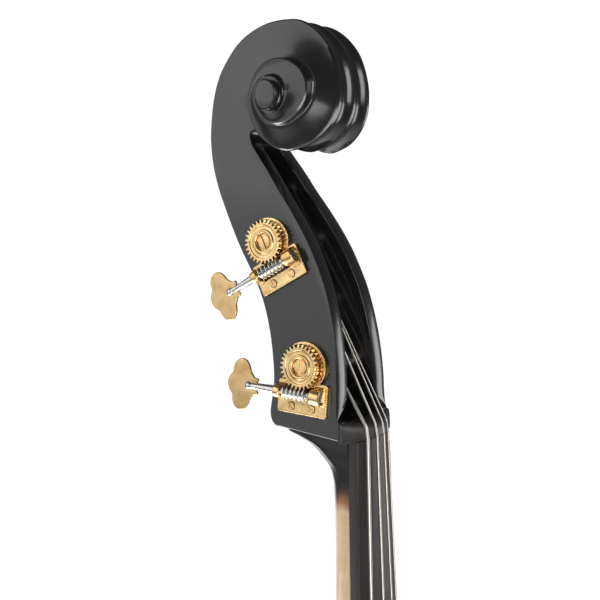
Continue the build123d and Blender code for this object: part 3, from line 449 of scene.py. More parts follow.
def brass(name="polished_brass", satin=0.0, shade=1.0):
    """Gold-coloured brass: polishing marks, warm tarnish in patches."""
    def shaded(*colour):
        return tuple(shade * c for c in colour)
    p = Paint(name)
    tarnish = p.noise(120.0, 4, 0.55)
    scratches = p.noise(1.0, 3, 0.6, p.mapped((3600, 500, 3600), (0.5, 0.3, 0.2)))
    soft = p.noise(300.0, 2, 0.5)
    colour = p.ramp(tarnish, ((0.3, shaded(0.66, 0.42, 0.17)), (0.5, shaded(0.80, 0.56, 0.27)), (0.75, shaded(0.88, 0.66, 0.36))))
    p.set(Base_Color=colour, Metallic=1.0, Roughness=p.span(soft, 0.3, 0.7, 0.22 + satin, 0.29 + satin))
    p.bump(((scratches, 0.000001, 0.2), (soft, 0.000004, 0.12)))
    return p.done()


def steel():
    """Nickelled steel with fine turning marks."""
    p = Paint("nickelled_steel")
    marks = p.noise(1.0, 3, 0.6, p.mapped((3000, 3000, 3000)))
    cloud = p.noise(210.0, 4, 0.6)
    p.set(Base_Color=p.ramp(cloud, ((0.3, (0.52, 0.51, 0.50)), (0.7, (0.70, 0.69, 0.67)))),
          Metallic=1.0, Roughness=p.span(marks, 0.3, 0.7, 0.18, 0.30))
    p.bump(((marks, 0.000002, 0.25),))
    return p.done()


def string_metal():
    """Flat-wound string: a ribbon's fine turns follow each other along the length."""
    p = Paint("flat_wound_string")
    uv = p.tree.nodes.new("ShaderNodeUVMap")
    uv.uv_map = "wound"
    wave = p.node("ShaderNodeTexWave")
    wave.inputs["Scale"].default_value = 1.0
    wave.bands_direction = "Y"
    p.link(uv.outputs["UV"], wave.inputs["Vector"])
    cloud = p.noise(500.0, 3, 0.6)
    p.set(Base_Color=p.ramp(cloud, ((0.3, (0.48, 0.44, 0.39)), (0.7, (0.60, 0.56, 0.51)))),
          Metallic=1.0, Roughness=p.span(cloud, 0.3, 0.7, 0.32, 0.38))
    p.bump(((wave.outputs["Fac"], 0.00001, 0.2),))
    return p.done()


def plain_wood(name, dark, light, scale=(300, 300, 14), rough=0.5):
    """Bare wood with its grain along Z."""
    p = Paint(name)
    grain = p.noise(1.0, 6, 0.65, p.mapped(scale))
    fine = p.noise(1.0, 3, 0.6, p.mapped((scale[0] * 5, scale[1] * 5, scale[2] * 3)))
    p.set(Base_Color=p.mix(0.35, p.ramp(grain, ((0.3, dark), (0.7, light))), p.ramp(fine, ((0.3, dark), (0.7, light)))),
          Roughness=p.span(fine, 0.3, 0.7, rough - 0.08, rough + 0.08))
    p.bump(((grain, 0.0001, 0.3), (fine, 0.00004, 0.3)))
    return p.done()


def rubber():
    """Moulded rubber with a fine matt skin."""
    p = Paint("moulded_rubber")
    skin = p.noise(1400.0, 4, 0.6)
    p.set(Base_Color=p.ramp(p.noise(90.0, 3, 0.5), ((0.3, (0.016, 0.016, 0.016)), (0.7, (0.030, 0.029, 0.028)))),
          Roughness=p.span(skin, 0.3, 0.7, 0.62, 0.82))
    p.bump(((skin, 0.00006, 0.5),))
    return p.done()


LACQUER = black_lacquer()
STAIN = cavity_stain()
NECK_WOOD = neck_finish()
EBONY = ebony()
NUT_EBONY = ebony("nut_ebony", 1.5, 0.42)
BRASS = brass()
KEY_BRASS = brass("satin_brass", 0.08, 0.84)
STEEL = steel()
STRING = string_metal()
RUBBER = rubber()
MAPLE = plain_wood("bare_maple", (0.50, 0.32, 0.15), (0.70, 0.50, 0.28))
SPRUCE = plain_wood("bare_spruce", (0.56, 0.40, 0.21), (0.78, 0.62, 0.40), (500, 60, 8), 0.6)


def settle(piece, body, slot, *replaced):
    """Rides a piece on its body and hides the nodes it stands for; slot is not used."""
    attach(piece, body)
    if replaced:
        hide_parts(*replaced)
    return piece


# ---- scroll and pegbox -----------------------------------------------------------------
# edge of the scroll from the pegbox's back, over the top and inward: u, v, half width
SCROLL_EDGE = (
    (-105.7, 208.3, 21.0), (-103.2, 228.9, 20.0), (-97.9, 245.0, 19.2), (-89.3, 257.4, 18.8), (-80.4, 265.8, 18.6),
    (-71.5, 271.0, 18.5), (-62.9, 274.2, 18.5), (-54.9, 276.0, 18.5), (-46.8, 276.5, 18.6), (-39.0, 276.2, 18.8),
    (-30.6, 274.9, 19.0), (-22.7, 271.0, 19.0), (-14.7, 264.5, 18.9), (-7.2, 255.0, 18.8), (-2.8, 244.5, 18.8),
    (-0.3, 232.6, 18.9), (-0.3, 223.0, 19.3), (-2.1, 213.3, 20.2), (-8.1, 203.4, 21.8), (-18.8, 194.6, 24.2),
    (-33.1, 190.0, 26.6), (-40.3, 190.3, 27.6), (-47.9, 192.9, 28.6), (-55.2, 198.4, 29.7), (-61.0, 206.4, 30.8),
    (-64.2, 217.9, 32.2), (-62.2, 230.8, 33.5), (-55.6, 241.6, 34.8), (-46.7, 247.4, 35.4), (-36.2, 248.9, 36.0),
    (-26.8, 246.3, 35.8), (-19.6, 240.7, 35.5), (-15.6, 233.7, 35.3), (-14.9, 227.0, 35.3), (-16.9, 219.6, 35.6),
    (-22.6, 212.4, 36.6), (-30.4, 207.6, 37.0), (-38.4, 206.2, 37.5), (-47.4, 209.2, 38.1), (-53.4, 216.8, 38.8),
    (-55.2, 225.0, 39.4), (-53.2, 231.8, 39.9), (-48.8, 236.4, 40.3), (-43.2, 238.2, 40.6), (-37.2, 237.2, 40.9),
    (-32.4, 233.4, 41.1), (-30.4, 227.2, 41.3), (-31.5, 220.8, 41.4), (-35.2, 216.4, 41.5), (-40.4, 214.9, 41.5),
)
SCROLL_CENTRE = (-39.5, 226.5)
EYE_CENTRE = (-40.0, 224.9)
# back of the pegbox, from its lower edge up
BACK_EDGE = (
    (-50.4, 8.4), (-53.2, 11.4), (-54.5, 17.5), (-52.9, 27.5), (-51.6, 38.0), (-52.3, 52.0), (-54.5, 68.0), (-58.3, 84.0),
    (-63.9, 98.6), (-71.5, 112.6), (-79.2, 125.6), (-86.2, 139.2), (-92.8, 153.4), (-98.6, 167.2), (-103.0, 181.5),
    (-105.2, 195.0),
)
# front edge of the cheeks, from the nut up to where it runs into the scroll
FRONT_EDGE = (
    (0.5, 3.0), (0.4, 8.0), (0.3, 12.6), (-1.1, 16.0), (-1.5, 26.0), (-1.3, 36.0), (-1.7, 48.0), (-2.8, 60.7),
    (-4.6, 73.4), (-7.2, 86.1), (-10.7, 98.9), (-15.6, 111.7), (-21.4, 124.7), (-28.9, 137.8), (-37.7, 151.1),
    (-47.4, 164.6), (-56.6, 178.3), (-66.2, 191.4), (-70.2, 198.0), (-70.6, 203.8), (-66.8, 207.2), (-61.6, 207.8),
)
# floor of the pegbox's hollow: v, u
HOLLOW_FLOOR = (
    (13.6, -0.5), (14.6, -6.0), (17.0, -25.0), (24.0, -39.0), (44.0, -40.0), (70.0, -43.5), (97.0, -52.0),
    (123.0, -66.0), (149.0, -80.0), (172.0, -88.5), (186.0, -88.0), (191.0, -83.0), (193.5, -72.0), (195.0, -68.5),
)
CHEEK = 12.5
EDGE_BEVEL = 0.9
CHEEK_BEVEL = 0.7


EDGE_LINE = catmull([(u, v, pegbox_half(v)) for u, v in BACK_EDGE] + list(SCROLL_EDGE), 10)
EDGE_ALONG = lengths(EDGE_LINE)
FRONT_LINE = catmull(FRONT_EDGE, 10)
FRONT_ALONG = lengths(FRONT_LINE)
PEG_TOP = 10 * (len(BACK_EDGE) - 1)


def turned():
    """Rows of minus the unwrapped angle about the scroll's centre, then the edge's u, v and half width."""
    rows, last = [], 230.0
    for u, v, w in EDGE_LINE[PEG_TOP - 20:]:
        angle = math.degrees(math.atan2(v - SCROLL_CENTRE[1], u - SCROLL_CENTRE[0]))
        while angle > last + 180:
            angle -= 360
        while angle < last - 180:
            angle += 360
        last = min(angle, last)
        rows.append((-last, u, v, w))
    return rows


TURNED = turned()
START_TURN = -TURNED[20][0]
END_TURN = -TURNED[-1][0]
THROAT = math.degrees(math.atan2(FRONT_EDGE[-1][1] - SCROLL_CENTRE[1], FRONT_EDGE[-1][0] - SCROLL_CENTRE[0])) 
EYE_R = (8.2, 9.8)
# |x| at the foot of the next turn's wall, by minus the outer edge's angle
WALL_FOOT = (
    (-206, 21.8), (-150, 22.8), (-90, 24.4), (-30, 25.8), (0, 27.0), (45, 30.2), (90, 33.4), (135, 34.2), (180, 34.6),
    (270, 35.4), (330, 37.2), (360, 38.8), (450, 40.4), (540, 40.6), (630, 40.8), (720, 41.0), (850, 41.2),
)
FLUTE = 3.2


def edge_at(angle):
    """u, v and half width of the scroll's edge at an unwrapped angle, or of the eye's rim past its end."""
    if angle < END_TURN:
        a = math.radians(angle)
        return (EYE_CENTRE[0] + EYE_R[0] * math.cos(a), EYE_CENTRE[1] + EYE_R[1] * math.sin(a), 41.5)
    return table(TURNED, -angle)


def edge_frame(angle):
    """The edge's point at an angle, and the direction in the side plane that points into the wood."""
    a, b = edge_at(angle + 0.6), edge_at(angle - 0.6)
    du, dv = b[0] - a[0], b[1] - a[1]
    size = math.hypot(du, dv)
    return edge_at(angle), (dv / size, -du / size)


def line_frame(line, along, place):
    """As edge_frame, for a distance along a line."""
    a, b = at_length(line, along, place - 0.8), at_length(line, along, place + 0.8)
    du, dv = b[0] - a[0], b[1] - a[1]
    size = max(1e-6, math.hypot(du, dv))
    return at_length(line, along, place), (dv / size, -du / size)


def flute_shape(share):
    """Depth of the rim's hollow, 0 to 1, at a share of the half width: flat margin, hollow, middle ridge."""
    low, high = 0.055, 0.875
    if share >= high or share <= low:
        return 0.0
    return math.sin(math.pi * (share - low) / (high - low)) ** 0.8


RIM_SHARES = [1.0, 0.93, 0.875] + [0.875 - 0.82 * k / 12 for k in range(1, 12)] + [0.055, 0.0]


def rim_row(point, inward, depth):
    """Points across the rim, from the near edge to the far edge."""
    u, v, w = point
    wide = w - EDGE_BEVEL
    row = []
    for share in [-s for s in RIM_SHARES] + RIM_SHARES[-2::-1]:
        dip = depth * flute_shape(abs(share))
        row.append(neck(u + inward[0] * dip, v + inward[1] * dip, share * wide))
    return row


def side_row(point, inward, foot, foot_x, dip, side, columns=13):
    """Points across a side face, from its edge bevel to its foot."""
    u, v, w = point
    row = [neck(u, v, side * (w - EDGE_BEVEL))]
    start = (u + inward[0] * EDGE_BEVEL, v + inward[1] * EDGE_BEVEL)
    for k in range(columns):
        t = k / (columns - 1)
        x = w + (foot_x - w) * t - dip * math.sin(math.pi * t ** 0.8)
        row.append(neck(start[0] + (foot[0] - start[0]) * t, start[1] + (foot[1] - start[1]) * t, side * x))
    return row


def front_half(place, side):
    """Points of one half of the pegbox's front, from a cheek's outer edge in to the hollow's middle."""
    (u, v), inward = line_frame(FRONT_LINE, FRONT_ALONG, place)
    inward = (-inward[0], -inward[1])
    half = pegbox_half(v)
    inner = half - CHEEK
    flare = (CHEEK - CHEEK_BEVEL) * (1 - ease((v - 13.4) / 13.0)) if v > 13.0 else 0.0
    inner_top = inner + flare
    open_here = 13.5 < v < 194.9 and place < FRONT_ALONG[-1] - 13
    floor = min(table(HOLLOW_FLOOR, v)[0], u) if open_here else u
    depth = u - floor
    round_in = min(0.8, depth)
    row = [
        neck(u + inward[0] * CHEEK_BEVEL, v + inward[1] * CHEEK_BEVEL, side * half),
        neck(u + inward[0] * 0.2, v + inward[1] * 0.2, side * (half - 0.2)),
        neck(u, v, side * (half - CHEEK_BEVEL)),
        neck(u, v, side * (half * 0.5 + inner_top * 0.5)),
        neck(u, v, side * (inner_top + round_in)),
        neck(u - round_in * 0.3, v, side * (inner_top + round_in * 0.3)),
        neck(u - round_in, v, side * inner_top),
    ]
    fillet = min(4.0, depth * 0.4)
    for k in range(1, 6):
        t = k / 5
        row.append(neck(u - round_in - (depth - round_in - fillet) * t, v, side * (inner_top + (inner - inner_top) * t ** 0.6)))
    for k in range(1, 5):
        a = math.pi / 2 * k / 4
        row.append(neck(floor + fillet * (1 - math.sin(a)), v, side * (inner - fillet * (1 - math.cos(a)))))
    for k in range(1, 4):
        row.append(neck(floor, v, side * (inner - fillet) * (1 - k / 3)))
    return row


def head_shape():
    head = Shape()
    # pegbox: one ring for each station
    stations = 120
    back_length = EDGE_ALONG[PEG_TOP]
    rings, inside = [], []
    for i in range(stations + 1):
        t = i / stations
        point, inward = line_frame(EDGE_LINE, EDGE_ALONG, back_length * t)
        place = FRONT_ALONG[-1] * t
        front, front_out = line_frame(FRONT_LINE, FRONT_ALONG, place)
        foot = (front[0] - front_out[0] * CHEEK_BEVEL, front[1] - front_out[1] * CHEEK_BEVEL)
        half = pegbox_half(front[1])
        depth = FLUTE * 0.75 * ease((point[1] - 25) / 150)
        near = side_row(point, inward, foot, half, 0, -1)
        far = side_row(point, inward, foot, half, 0, 1)
        rings.append((near, far, rim_row(point, inward, depth), front_half(place, -1), front_half(place, 1)))
    head.sheet([r[0] for r in rings])
    head.sheet([r[1] for r in rings])
    head.sheet([r[2] for r in rings])
    split = 7
    for k in (3, 4):
        head.sheet([r[k][:split] for r in rings])
        head.sheet([r[k][split - 1:] for r in rings], paint=1)
    # its lower end, with a bevel
    first = rings[0]
    loop = first[0] + first[3][1:] + first[4][-2::-1] + first[1][::-1] + first[2][::-1]
    middle = sum(loop, Vector()) / len(loop)
    lower = [middle + (p - middle) * 0.965 - V_AXIS * 0.9 * MM for p in loop]
    head.sheet([loop, lower], closed_columns=True)
    head.cap(lower)
    # scroll: the rim
    rows = []
    angle = START_TURN
    while angle > THROAT - 14:
        point, inward = edge_frame(angle)
        grow = FLUTE * (0.75 + 0.25 * ease((START_TURN - angle) / 60))
        fade = 1 - 0.75 * ease((-105 - angle) / 40)
        rows.append(rim_row(point, inward, grow * fade))
        angle -= 2.5
    head.sheet(rows)
    # its sides: each station spans from a turn's edge to the next turn's wall and edge
    faces = {-1: [], 1: []}
    walls = {-1: [], 1: []}
    inner = THROAT
    while inner > END_TURN - 362:
        lag = (360 + THROAT - START_TURN) * (1 - ease((THROAT - inner) / 110))
        point, inward = edge_frame(inner + 360 - lag)
        top, top_in = edge_frame(inner)
        out = (-top_in[0], -top_in[1])
        eased = ease((THROAT - inner) / 60)
        gap = 1.3 + 0.5 * eased
        foot_x = table(WALL_FOOT, -(inner + 360 - lag))[0]
        foot_x = pegbox_half(top[1]) * (1 - eased) + foot_x * eased
        foot_x = min(foot_x, top[2] - 0.5)
        foot = (top[0] + out[0] * gap, top[1] + out[1] * gap)
        dip = 0.4 * ease((THROAT - inner) / 90)
        tall = top[2] - EDGE_BEVEL - foot_x
        for side in (-1, 1):
            faces[side].append(side_row(point, inward, foot, foot_x, dip, side))
            row = [neck(*foot, side * foot_x)]
            for off, up in ((0.55, 0.03), (0.30, 0.09), (0.05, 0.22), (-0.10, 0.45), (-0.12, 0.65), (-0.05, 0.85), (0, 1)):
                off = off * gap if off > 0 else off * min(4.0, tall) * 0.6
                row.append(neck(top[0] + out[0] * off, top[1] + out[1] * off, side * (foot_x + tall * up)))
            walls[side].append(row)
        inner -= 2.5
    for side in (-1, 1):
        head.sheet(faces[side])
        head.sheet(walls[side])
    # the eyes
    for side in (-1, 1):
        turn = Matrix.Rotation(math.radians(90), 4, "Y") if side > 0 else Matrix.Rotation(math.radians(-90), 4, "Y")
        eye = lathe(((11.5, 36.5), (10.2, 37.6), (9.3, 39.2), (8.8, 41.0), (8.7, 43), (8.7, 45.0), (8.45, 45.6), (7.9, 45.95),
                     (7.2, 46.1), (4, 46.25), (0, 46.3)), 72)
        upright = Matrix.Rotation(-TILT, 4, "X") @ Matrix.Diagonal((1, EYE_R[0] / 8.7, EYE_R[1] / 8.7, 1))
        place = Matrix.Translation(neck(*EYE_CENTRE)) @ Matrix.Scale(MM, 4) @ upright @ turn
        head.add(eye, place)
    return head


head = head_shape().build("scroll_and_pegbox", [LACQUER, STAIN], 28.0)
settle(head, "instrument", "black_lacquer", "neck_and_scroll")

# ---- neck and heel ----------------------------------------------------------------------
# v, half width, depth behind the glue plane, depth of the rounding, lean of the section in degrees
NECK_ROWS = (
    (11.0, 21.4, 54.0, 10.0, 9.5), (5.0, 21.4, 54.2, 10.0, 9.5), (2.4, 21.4, 53.0, 10.5, 9.5), (0.6, 21.3, 48.5, 11.5, 9.5),
    (-3.3, 21.3, 39.6, 12.8, 9.5), (-6.9, 21.3, 34.0, 13.6, 9.5), (-12.8, 21.2, 28.0, 14.3, 9.5), (-18.9, 21.2, 22.7, 14.5, 9.5),
    (-25.0, 21.1, 20.8, 14.3, 9.5), (-31.6, 21.1, 19.7, 14.0, 9.5), (-51.0, 21.4, 19.1, 13.8, 9.5), (-77.0, 21.9, 19.3, 14.0, 9.5),
    (-103.0, 22.6, 19.7, 14.3, 9.5), (-150.0, 23.8, 20.6, 15.4, 9.5), (-200.0, 25.2, 21.8, 16.6, 9.5), (-250.0, 26.6, 23.2, 18.0, 9.0),
    (-285.0, 27.8, 26.2, 19.6, 6.0), (-308.0, 28.9, 32.6, 21.0, 3.5), (-324.0, 29.6, 46.0, 23.0, 1.5), (-341.0, 30.2, 67.0, 25.0, 0.5),
    (-358.0, 30.7, 96.0, 26.0, 0.0), (-379.0, 30.9, 146.0, 26.0, 0.0), (-399.0, 31.0, 202.0, 26.0, 0.0),
    (-414.0, 31.0, 233.0, 26.0, 0.0), (-424.0, 31.0, 240.5, 26.0, 0.0), (-445.0, 31.0, 243.3, 26.0, 0.0),
)


def neck_shape():
    shape = Shape()
    rows = []
    for v, half, depth, rounding, lean in even(NECK_ROWS, 300, 3):
        lean = math.radians(lean)
        down = Vector((0, math.cos(lean), -math.sin(lean)))
        origin = neck(0, v)
        ring = []
        corner = 0.5
        for x, d in ((half - corner, 0), (half - corner * 0.3, corner * 0.3), (half, corner)):
            ring.append(origin + X_AXIS * x * MM + down * d * MM)
        straight = depth - rounding
        for k in range(1, 5):
            ring.append(origin + X_AXIS * half * MM + down * (corner + (straight - corner) * k / 5) * MM)
        for k in range(33):
            a = math.pi * k / 32
            squash = abs(math.sin(a))
            ring.append(origin + X_AXIS * half * math.cos(a) * MM + down * (straight + rounding * squash) * MM)
        for k in range(4, 0, -1):
            ring.append(origin - X_AXIS * half * MM + down * (corner + (straight - corner) * k / 5) * MM)
        for x, d in ((half, corner), (half - corner * 0.3, corner * 0.3), (half - corner, 0)):
            ring.append(origin - X_AXIS * x * MM + down * d * MM)
        for k in range(1, 6):
            ring.append(origin + X_AXIS * (half - corner) * (2 * k / 6 - 1) * MM)
        rows.append(ring)
    shape.sheet(rows, closed_columns=True)
    shape.cap(rows[0])
    shape.cap(rows[-1])
    return shape


neck_piece = neck_shape().build("neck_and_heel", [NECK_WOOD], 40.0)
settle(neck_piece, "instrument", "maple", "neck_and_scroll")

# ---- fingerboard ------------------------------------------------------------------------
BOARD_LENGTH = 860.0


def board_shape():
    shape = Shape()
    rows = []
    count = 60
    for i in range(count + 1):
        t = i / count
        v = -0.05 - (BOARD_LENGTH - 0.05) * t
        half = 21.0 + 22.0 * t
        crown = 10.2 + 8.8 * t ** 1.5
        inset = 0.0
        if i in (0, count):
            inset = 0.4
        ring = []
        side_top = 7.5 - 0.6
        for x, u in ((half - 0.3, 0.02), (half, 0.32), (half, side_top * 0.5), (half, side_top)):
            ring.append((x - inset, u))
        rise = crown - 7.5
        radius = (half * half + rise * rise) / (2 * rise)
        reach = math.asin(half / radius)
        for k in range(41):
            a = reach * (1 - 2 * k / 40)
            x, u = radius * math.sin(a), 7.5 + radius * (math.cos(a) - math.cos(reach))
            if k in (0, 40):
                x, u = x * (1 - 0.25 / half), u - 0.12
            ring.append((x * (1 - inset / half), u - inset * 0.6))
        for x, u in ((half, side_top), (half, side_top * 0.5), (half, 0.32), (half - 0.3, 0.02)):
            ring.append((-x + inset, u))
        rows.append([neck(u, v, x) for x, u in ring])
    shape.sheet(rows, closed_columns=True)
    shape.cap(rows[0])
    shape.cap(rows[-1])
    return shape


board = board_shape().build("ebony_fingerboard", [EBONY], 30.0)
settle(board, "instrument", "ebony", "fingerboard")

# ---- nut --------------------------------------------------------------------------------
STRINGS = {
    "e": (1.35, -14.0, -43.0, -11.0, 9.35, 20.0),
    "a": (1.0, -4.7, -14.3, -5.0, 11.35, 31.0),
    "d": (0.8, 4.7, 14.3, 5.0, 11.35, 31.0),
    "g": (0.65, 14.0, 43.0, 11.0, 9.35, 20.0),
}
TUNERS = {
    "e": ((-25.0, 49.0), -4.5, -1),
    "g": ((-37.5, 89.0), 8.0, 1),
    "a": ((-54.0, 130.2), 26.0, -1),
    "d": ((-71.5, 166.0), 18.0, 1),
}
NUT_CREST = ((-32, 1.7), (-28, 3.8), (-25, 5.5), (-20, 7.6), (-14, 9.85), (-7, 11.6), (0, 12.2), (7, 11.6), (14, 9.85),
             (20, 7.6), (25, 5.5), (28, 3.8), (32, 1.7))


def nut_shape():
    shape = Shape()
    crest = catmull(NUT_CREST, 8)
    count = 240
    rows = []
    for i in range(count + 1):
        x = -32 + 64 * i / count
        high = table(crest, x)[0]
        ring = [(0.5, 0.0)]
        slot = 0.0
        for radius, nut_x, _, _, seat, _ in STRINGS.values():
            away = abs(x - nut_x)
            reach = radius + 0.25
            if away < reach:
                slot = max(slot, high - seat - radius + math.sqrt(max(0.0, reach ** 2 - away ** 2)) - 0.25)
        top = max(1.0, high - slot)
        low_end = min(0.5, top * 0.4)
        ring = [(0.5, 0.0), (max(0.55, top - 2.0), 0.0), (top - 0.9, 0.35), (top - 0.25, 1.1), (top, 2.6), (top, 5.0), (top - 0.25, 7.0),
                (0.5 + (top - 0.5) * 0.90, 9.0), (0.5 + (top - 0.5) * 0.72, 11.0), (0.5 + (top - 0.5) * 0.40, 12.6), (low_end, 13.2)]
        edge = 32 - abs(x)
        if edge < 0.5:
            ring = [(0.5 + (u - 0.5) * (0.8 + 0.4 * edge), 0.3 + (v - 0.3) * 0.97) for u, v in ring]
        rows.append([neck(u, v, x) for u, v in ring])
    shape.sheet(rows, closed_columns=True)
    shape.cap(rows[0])
    shape.cap(rows[-1])
    return shape


nut = nut_shape().build("ebony_nut", [NUT_EBONY], 40.0)
settle(nut, "instrument", "ebony", "nut")

# ---- strings ----------------------------------------------------------------------------
STRING_LENGTH = 1050.0
POST_R = 6.0


def rounded(points, reaches, steps=14):
    """A route through points whose inner corners are rounded from reach away on each side."""
    route = [points[0]]
    for before, corner, after, reach in zip(points, points[1:], points[2:], reaches):
        a = corner + (before - corner).normalized() * reach
        b = corner + (after - corner).normalized() * reach
        for k in range(steps + 1):
            t = k / steps
            route.append(a * (1 - t) ** 2 + corner * 2 * t * (1 - t) + b * t * t)
    route.append(points[-1])
    return route


def string_tube(route, radius, name, slot_steps=12):
    """A string with a map of the ribbon's turns along it."""
    shape = tube(route, radius, slot_steps)
    mesh = bpy.data.meshes.new(name)
    mesh.from_pydata([tuple(p) for p in shape.points], [], shape.faces)
    layer = mesh.uv_layers.new(name="wound")
    along = [0.0]
    for a, b in zip(route, route[1:]):
        along.append(along[-1] + (b - a).length)
    for polygon in mesh.polygons:
        for loop in polygon.loop_indices:
            vertex = mesh.loops[loop].vertex_index
            ring = min(vertex // slot_steps, len(route) - 1)
            layer.data[loop].uv = (vertex % slot_steps / slot_steps, along[ring] * 450)
    return dress(mesh, name, [STRING], 60.0)


def tangent_point(start, centre, reach):
    du, dv = start[0] - centre[0], start[1] - centre[1]
    angle = math.atan2(dv, du) + math.acos(reach / math.hypot(du, dv))
    return (centre[0] + reach * math.cos(angle), centre[1] + reach * math.sin(angle))


for name, (radius, nut_x, bridge_x, post_x, seat, crown) in STRINGS.items():
    (post_u, post_v), _, side = TUNERS[name]
    crest = seat + radius
    tuck = (crest - 1.2, 9.5)
    inward = pegbox_half(post_v) - abs(post_x)
    centre = (post_u, post_v - inward * math.sin(CHEEK_LEAN))
    reach = POST_R + radius + 0.35
    touch = tangent_point(tuck, centre, reach)
    corners = [
        Vector((bridge_x * 0.72, -208, 500)) * MM,
        neck(crown + radius, -STRING_LENGTH, bridge_x),
        neck(crest, 1.5, nut_x),
        neck(*tuck, nut_x),
        neck(*touch, post_x),
    ]
    route = rounded(corners, (0.004, 0.0018, 0.0018))
    string = string_tube(route, radius * MM, f"wound_string_{name}")
    settle(string, "instrument", "string_metal", f"string_{name}")
    # its turns round the post
    start = math.atan2(touch[1] - centre[1], touch[0] - centre[0])
    cross = (touch[0] - centre[0]) * (touch[1] - tuck[1]) - (touch[1] - centre[1]) * (touch[0] - tuck[0])
    sense = 1 if cross > 0 else -1
    axis = V_AXIS * math.sin(CHEEK_LEAN) + X_AXIS * side * math.cos(CHEEK_LEAN)
    middle = neck(*centre, post_x)
    step = 2 * radius + 0.12
    turns = {"e": 2.6, "a": 3.4, "d": 3.6, "g": 3.8}[name]
    coil = []
    for k in range(int(turns * 40) + 1):
        a = start + sense * 2 * math.pi * k / 40
        hug = POST_R + radius + 0.35 * max(0.1, 1 - k / 8)
        along = -axis * step * k / 40 * MM if post_x * side > 0 else axis * step * k / 40 * MM * -1
        coil.append(middle + (U_AXIS * math.cos(a) + V_AXIS * math.sin(a)) * hug * MM + along)
    wound = string_tube(coil, radius * MM, f"string_turns_{name}")
    settle(wound, f"wheel_and_post_{name}", "string_metal")

# ---- tuners -----------------------------------------------------------------------------
TEETH = 28
WORM_DROP = 17.75
WORM_HEIGHT = 6.0
WORM_PITCH = 3.18


def seat_matrix(centre, turn, side):
    """From a tuner's own frame, in mm, to the row frame: x forward, z outward from the cheek."""
    lean, turn = CHEEK_LEAN, math.radians(turn)
    outward = V_AXIS * math.sin(lean) + X_AXIS * side * math.cos(lean)
    along = V_AXIS * math.cos(lean) - X_AXIS * side * math.sin(lean)
    forward = U_AXIS * math.cos(turn) + along * math.sin(turn)
    across = outward.cross(forward) * (-1 if side > 0 else 1)
    place = Matrix((forward, across, outward)).transposed().to_4x4()
    place.translation = neck(centre[0], centre[1], side * pegbox_half(centre[1])) / MM
    return Matrix.Scale(MM, 4) @ place


def plate_outline():
    """The plate's outside: a rounded rectangle under a disc, met by small fillets."""
    disc, half, top, low, corner = 16.3, 19.0, -10.0, -31.5, 1.4
    loop = []
    start = math.atan2(top, math.sqrt(disc ** 2 - top ** 2))
    sweep = math.pi - 2 * start
    for k in range(73):
        a = start + sweep * k / 72
        loop.append((disc * math.cos(a), disc * math.sin(a)))
    for cx, cy, a0 in ((-half + corner, top - corner, 90), (-half + corner, low + corner, 180),
                       (half - corner, low + corner, 270), (half - corner, top - corner, 0)):
        for k in range(7):
            a = math.radians(a0 + 15 * k)
            loop.append((cx + corner * math.cos(a), cy + corner * math.sin(a)))
    return loop


def make_plate():
    window = [(-14.0, -22.7), (8.8, -22.7), (8.8, -12.9), (-14.0, -12.9)]
    return outline_mesh([plate_outline(), circle(6.2, steps=48, turn=-1), window[::-1],
                         circle(2.75, (-8, -27), 32, -1), circle(2.75, (8, -27), 32, -1)], 0.0, 2.5, 0.32)


def make_bearings():
    shape = Shape()
    turn = Matrix.Translation((0, -WORM_DROP, WORM_HEIGHT)) @ Matrix.Rotation(math.radians(90), 4, "Y")
    left = lathe(((2.45, -18.9), (3.2, -18.9), (4.1, -18.9), (4.45, -18.75), (4.6, -18.35), (4.6, -14.8), (4.45, -14.35),
                  (4.1, -14.2), (2.45, -14.2)), 56)
    right = lathe(((3.38, 9.1), (4.2, 9.1), (4.7, 9.3), (5.1, 9.8), (5.35, 10.6), (5.4, 11.4), (5.4, 16.9), (5.2, 17.4),
                   (4.8, 17.6), (4.1, 17.6), (3.75, 17.45), (3.6, 17.1), (3.6, 16.4), (3.38, 16.3)), 56)
    shape.add(left, turn)
    shape.add(right, turn)
    # the low saddle between plate and bearings
    for low, high, wide in ((-18.6, -14.5, 0.85), (10.2, 17.3, 1.0)):
        rows = []
        for x in (low, high):
            ring = []
            for y, z in ((-6.2, 2.3), (-6.2, 2.9), (-5.5, 3.7), (-4.9, 4.6), (4.9, 4.6), (5.5, 3.7), (6.2, 2.9), (6.2, 2.3)):
                ring.append(Vector((x, y * wide - WORM_DROP, z)))
            rows.append(ring)
        shape.sheet(rows, closed_columns=True)
        shape.cap(rows[0])
        shape.cap(rows[-1])
    return shape


def gear_loop(tip, root):
    """Points round the worm wheel's teeth."""
    loop = []
    for tooth in range(TEETH):
        middle = math.radians(-90) + 2 * math.pi * (tooth + 0.5) / TEETH
        for radius, half in ((root, 1.02), (root + 0.55, 0.80), (tip - 0.25, 0.44), (tip, 0.26)):
            loop.append((radius, middle - half / radius))
        for radius, half in ((tip, 0.26), (tip - 0.25, 0.44), (root + 0.55, 0.80), (root, 1.02)):
            loop.append((radius, middle + half / radius))
    return loop


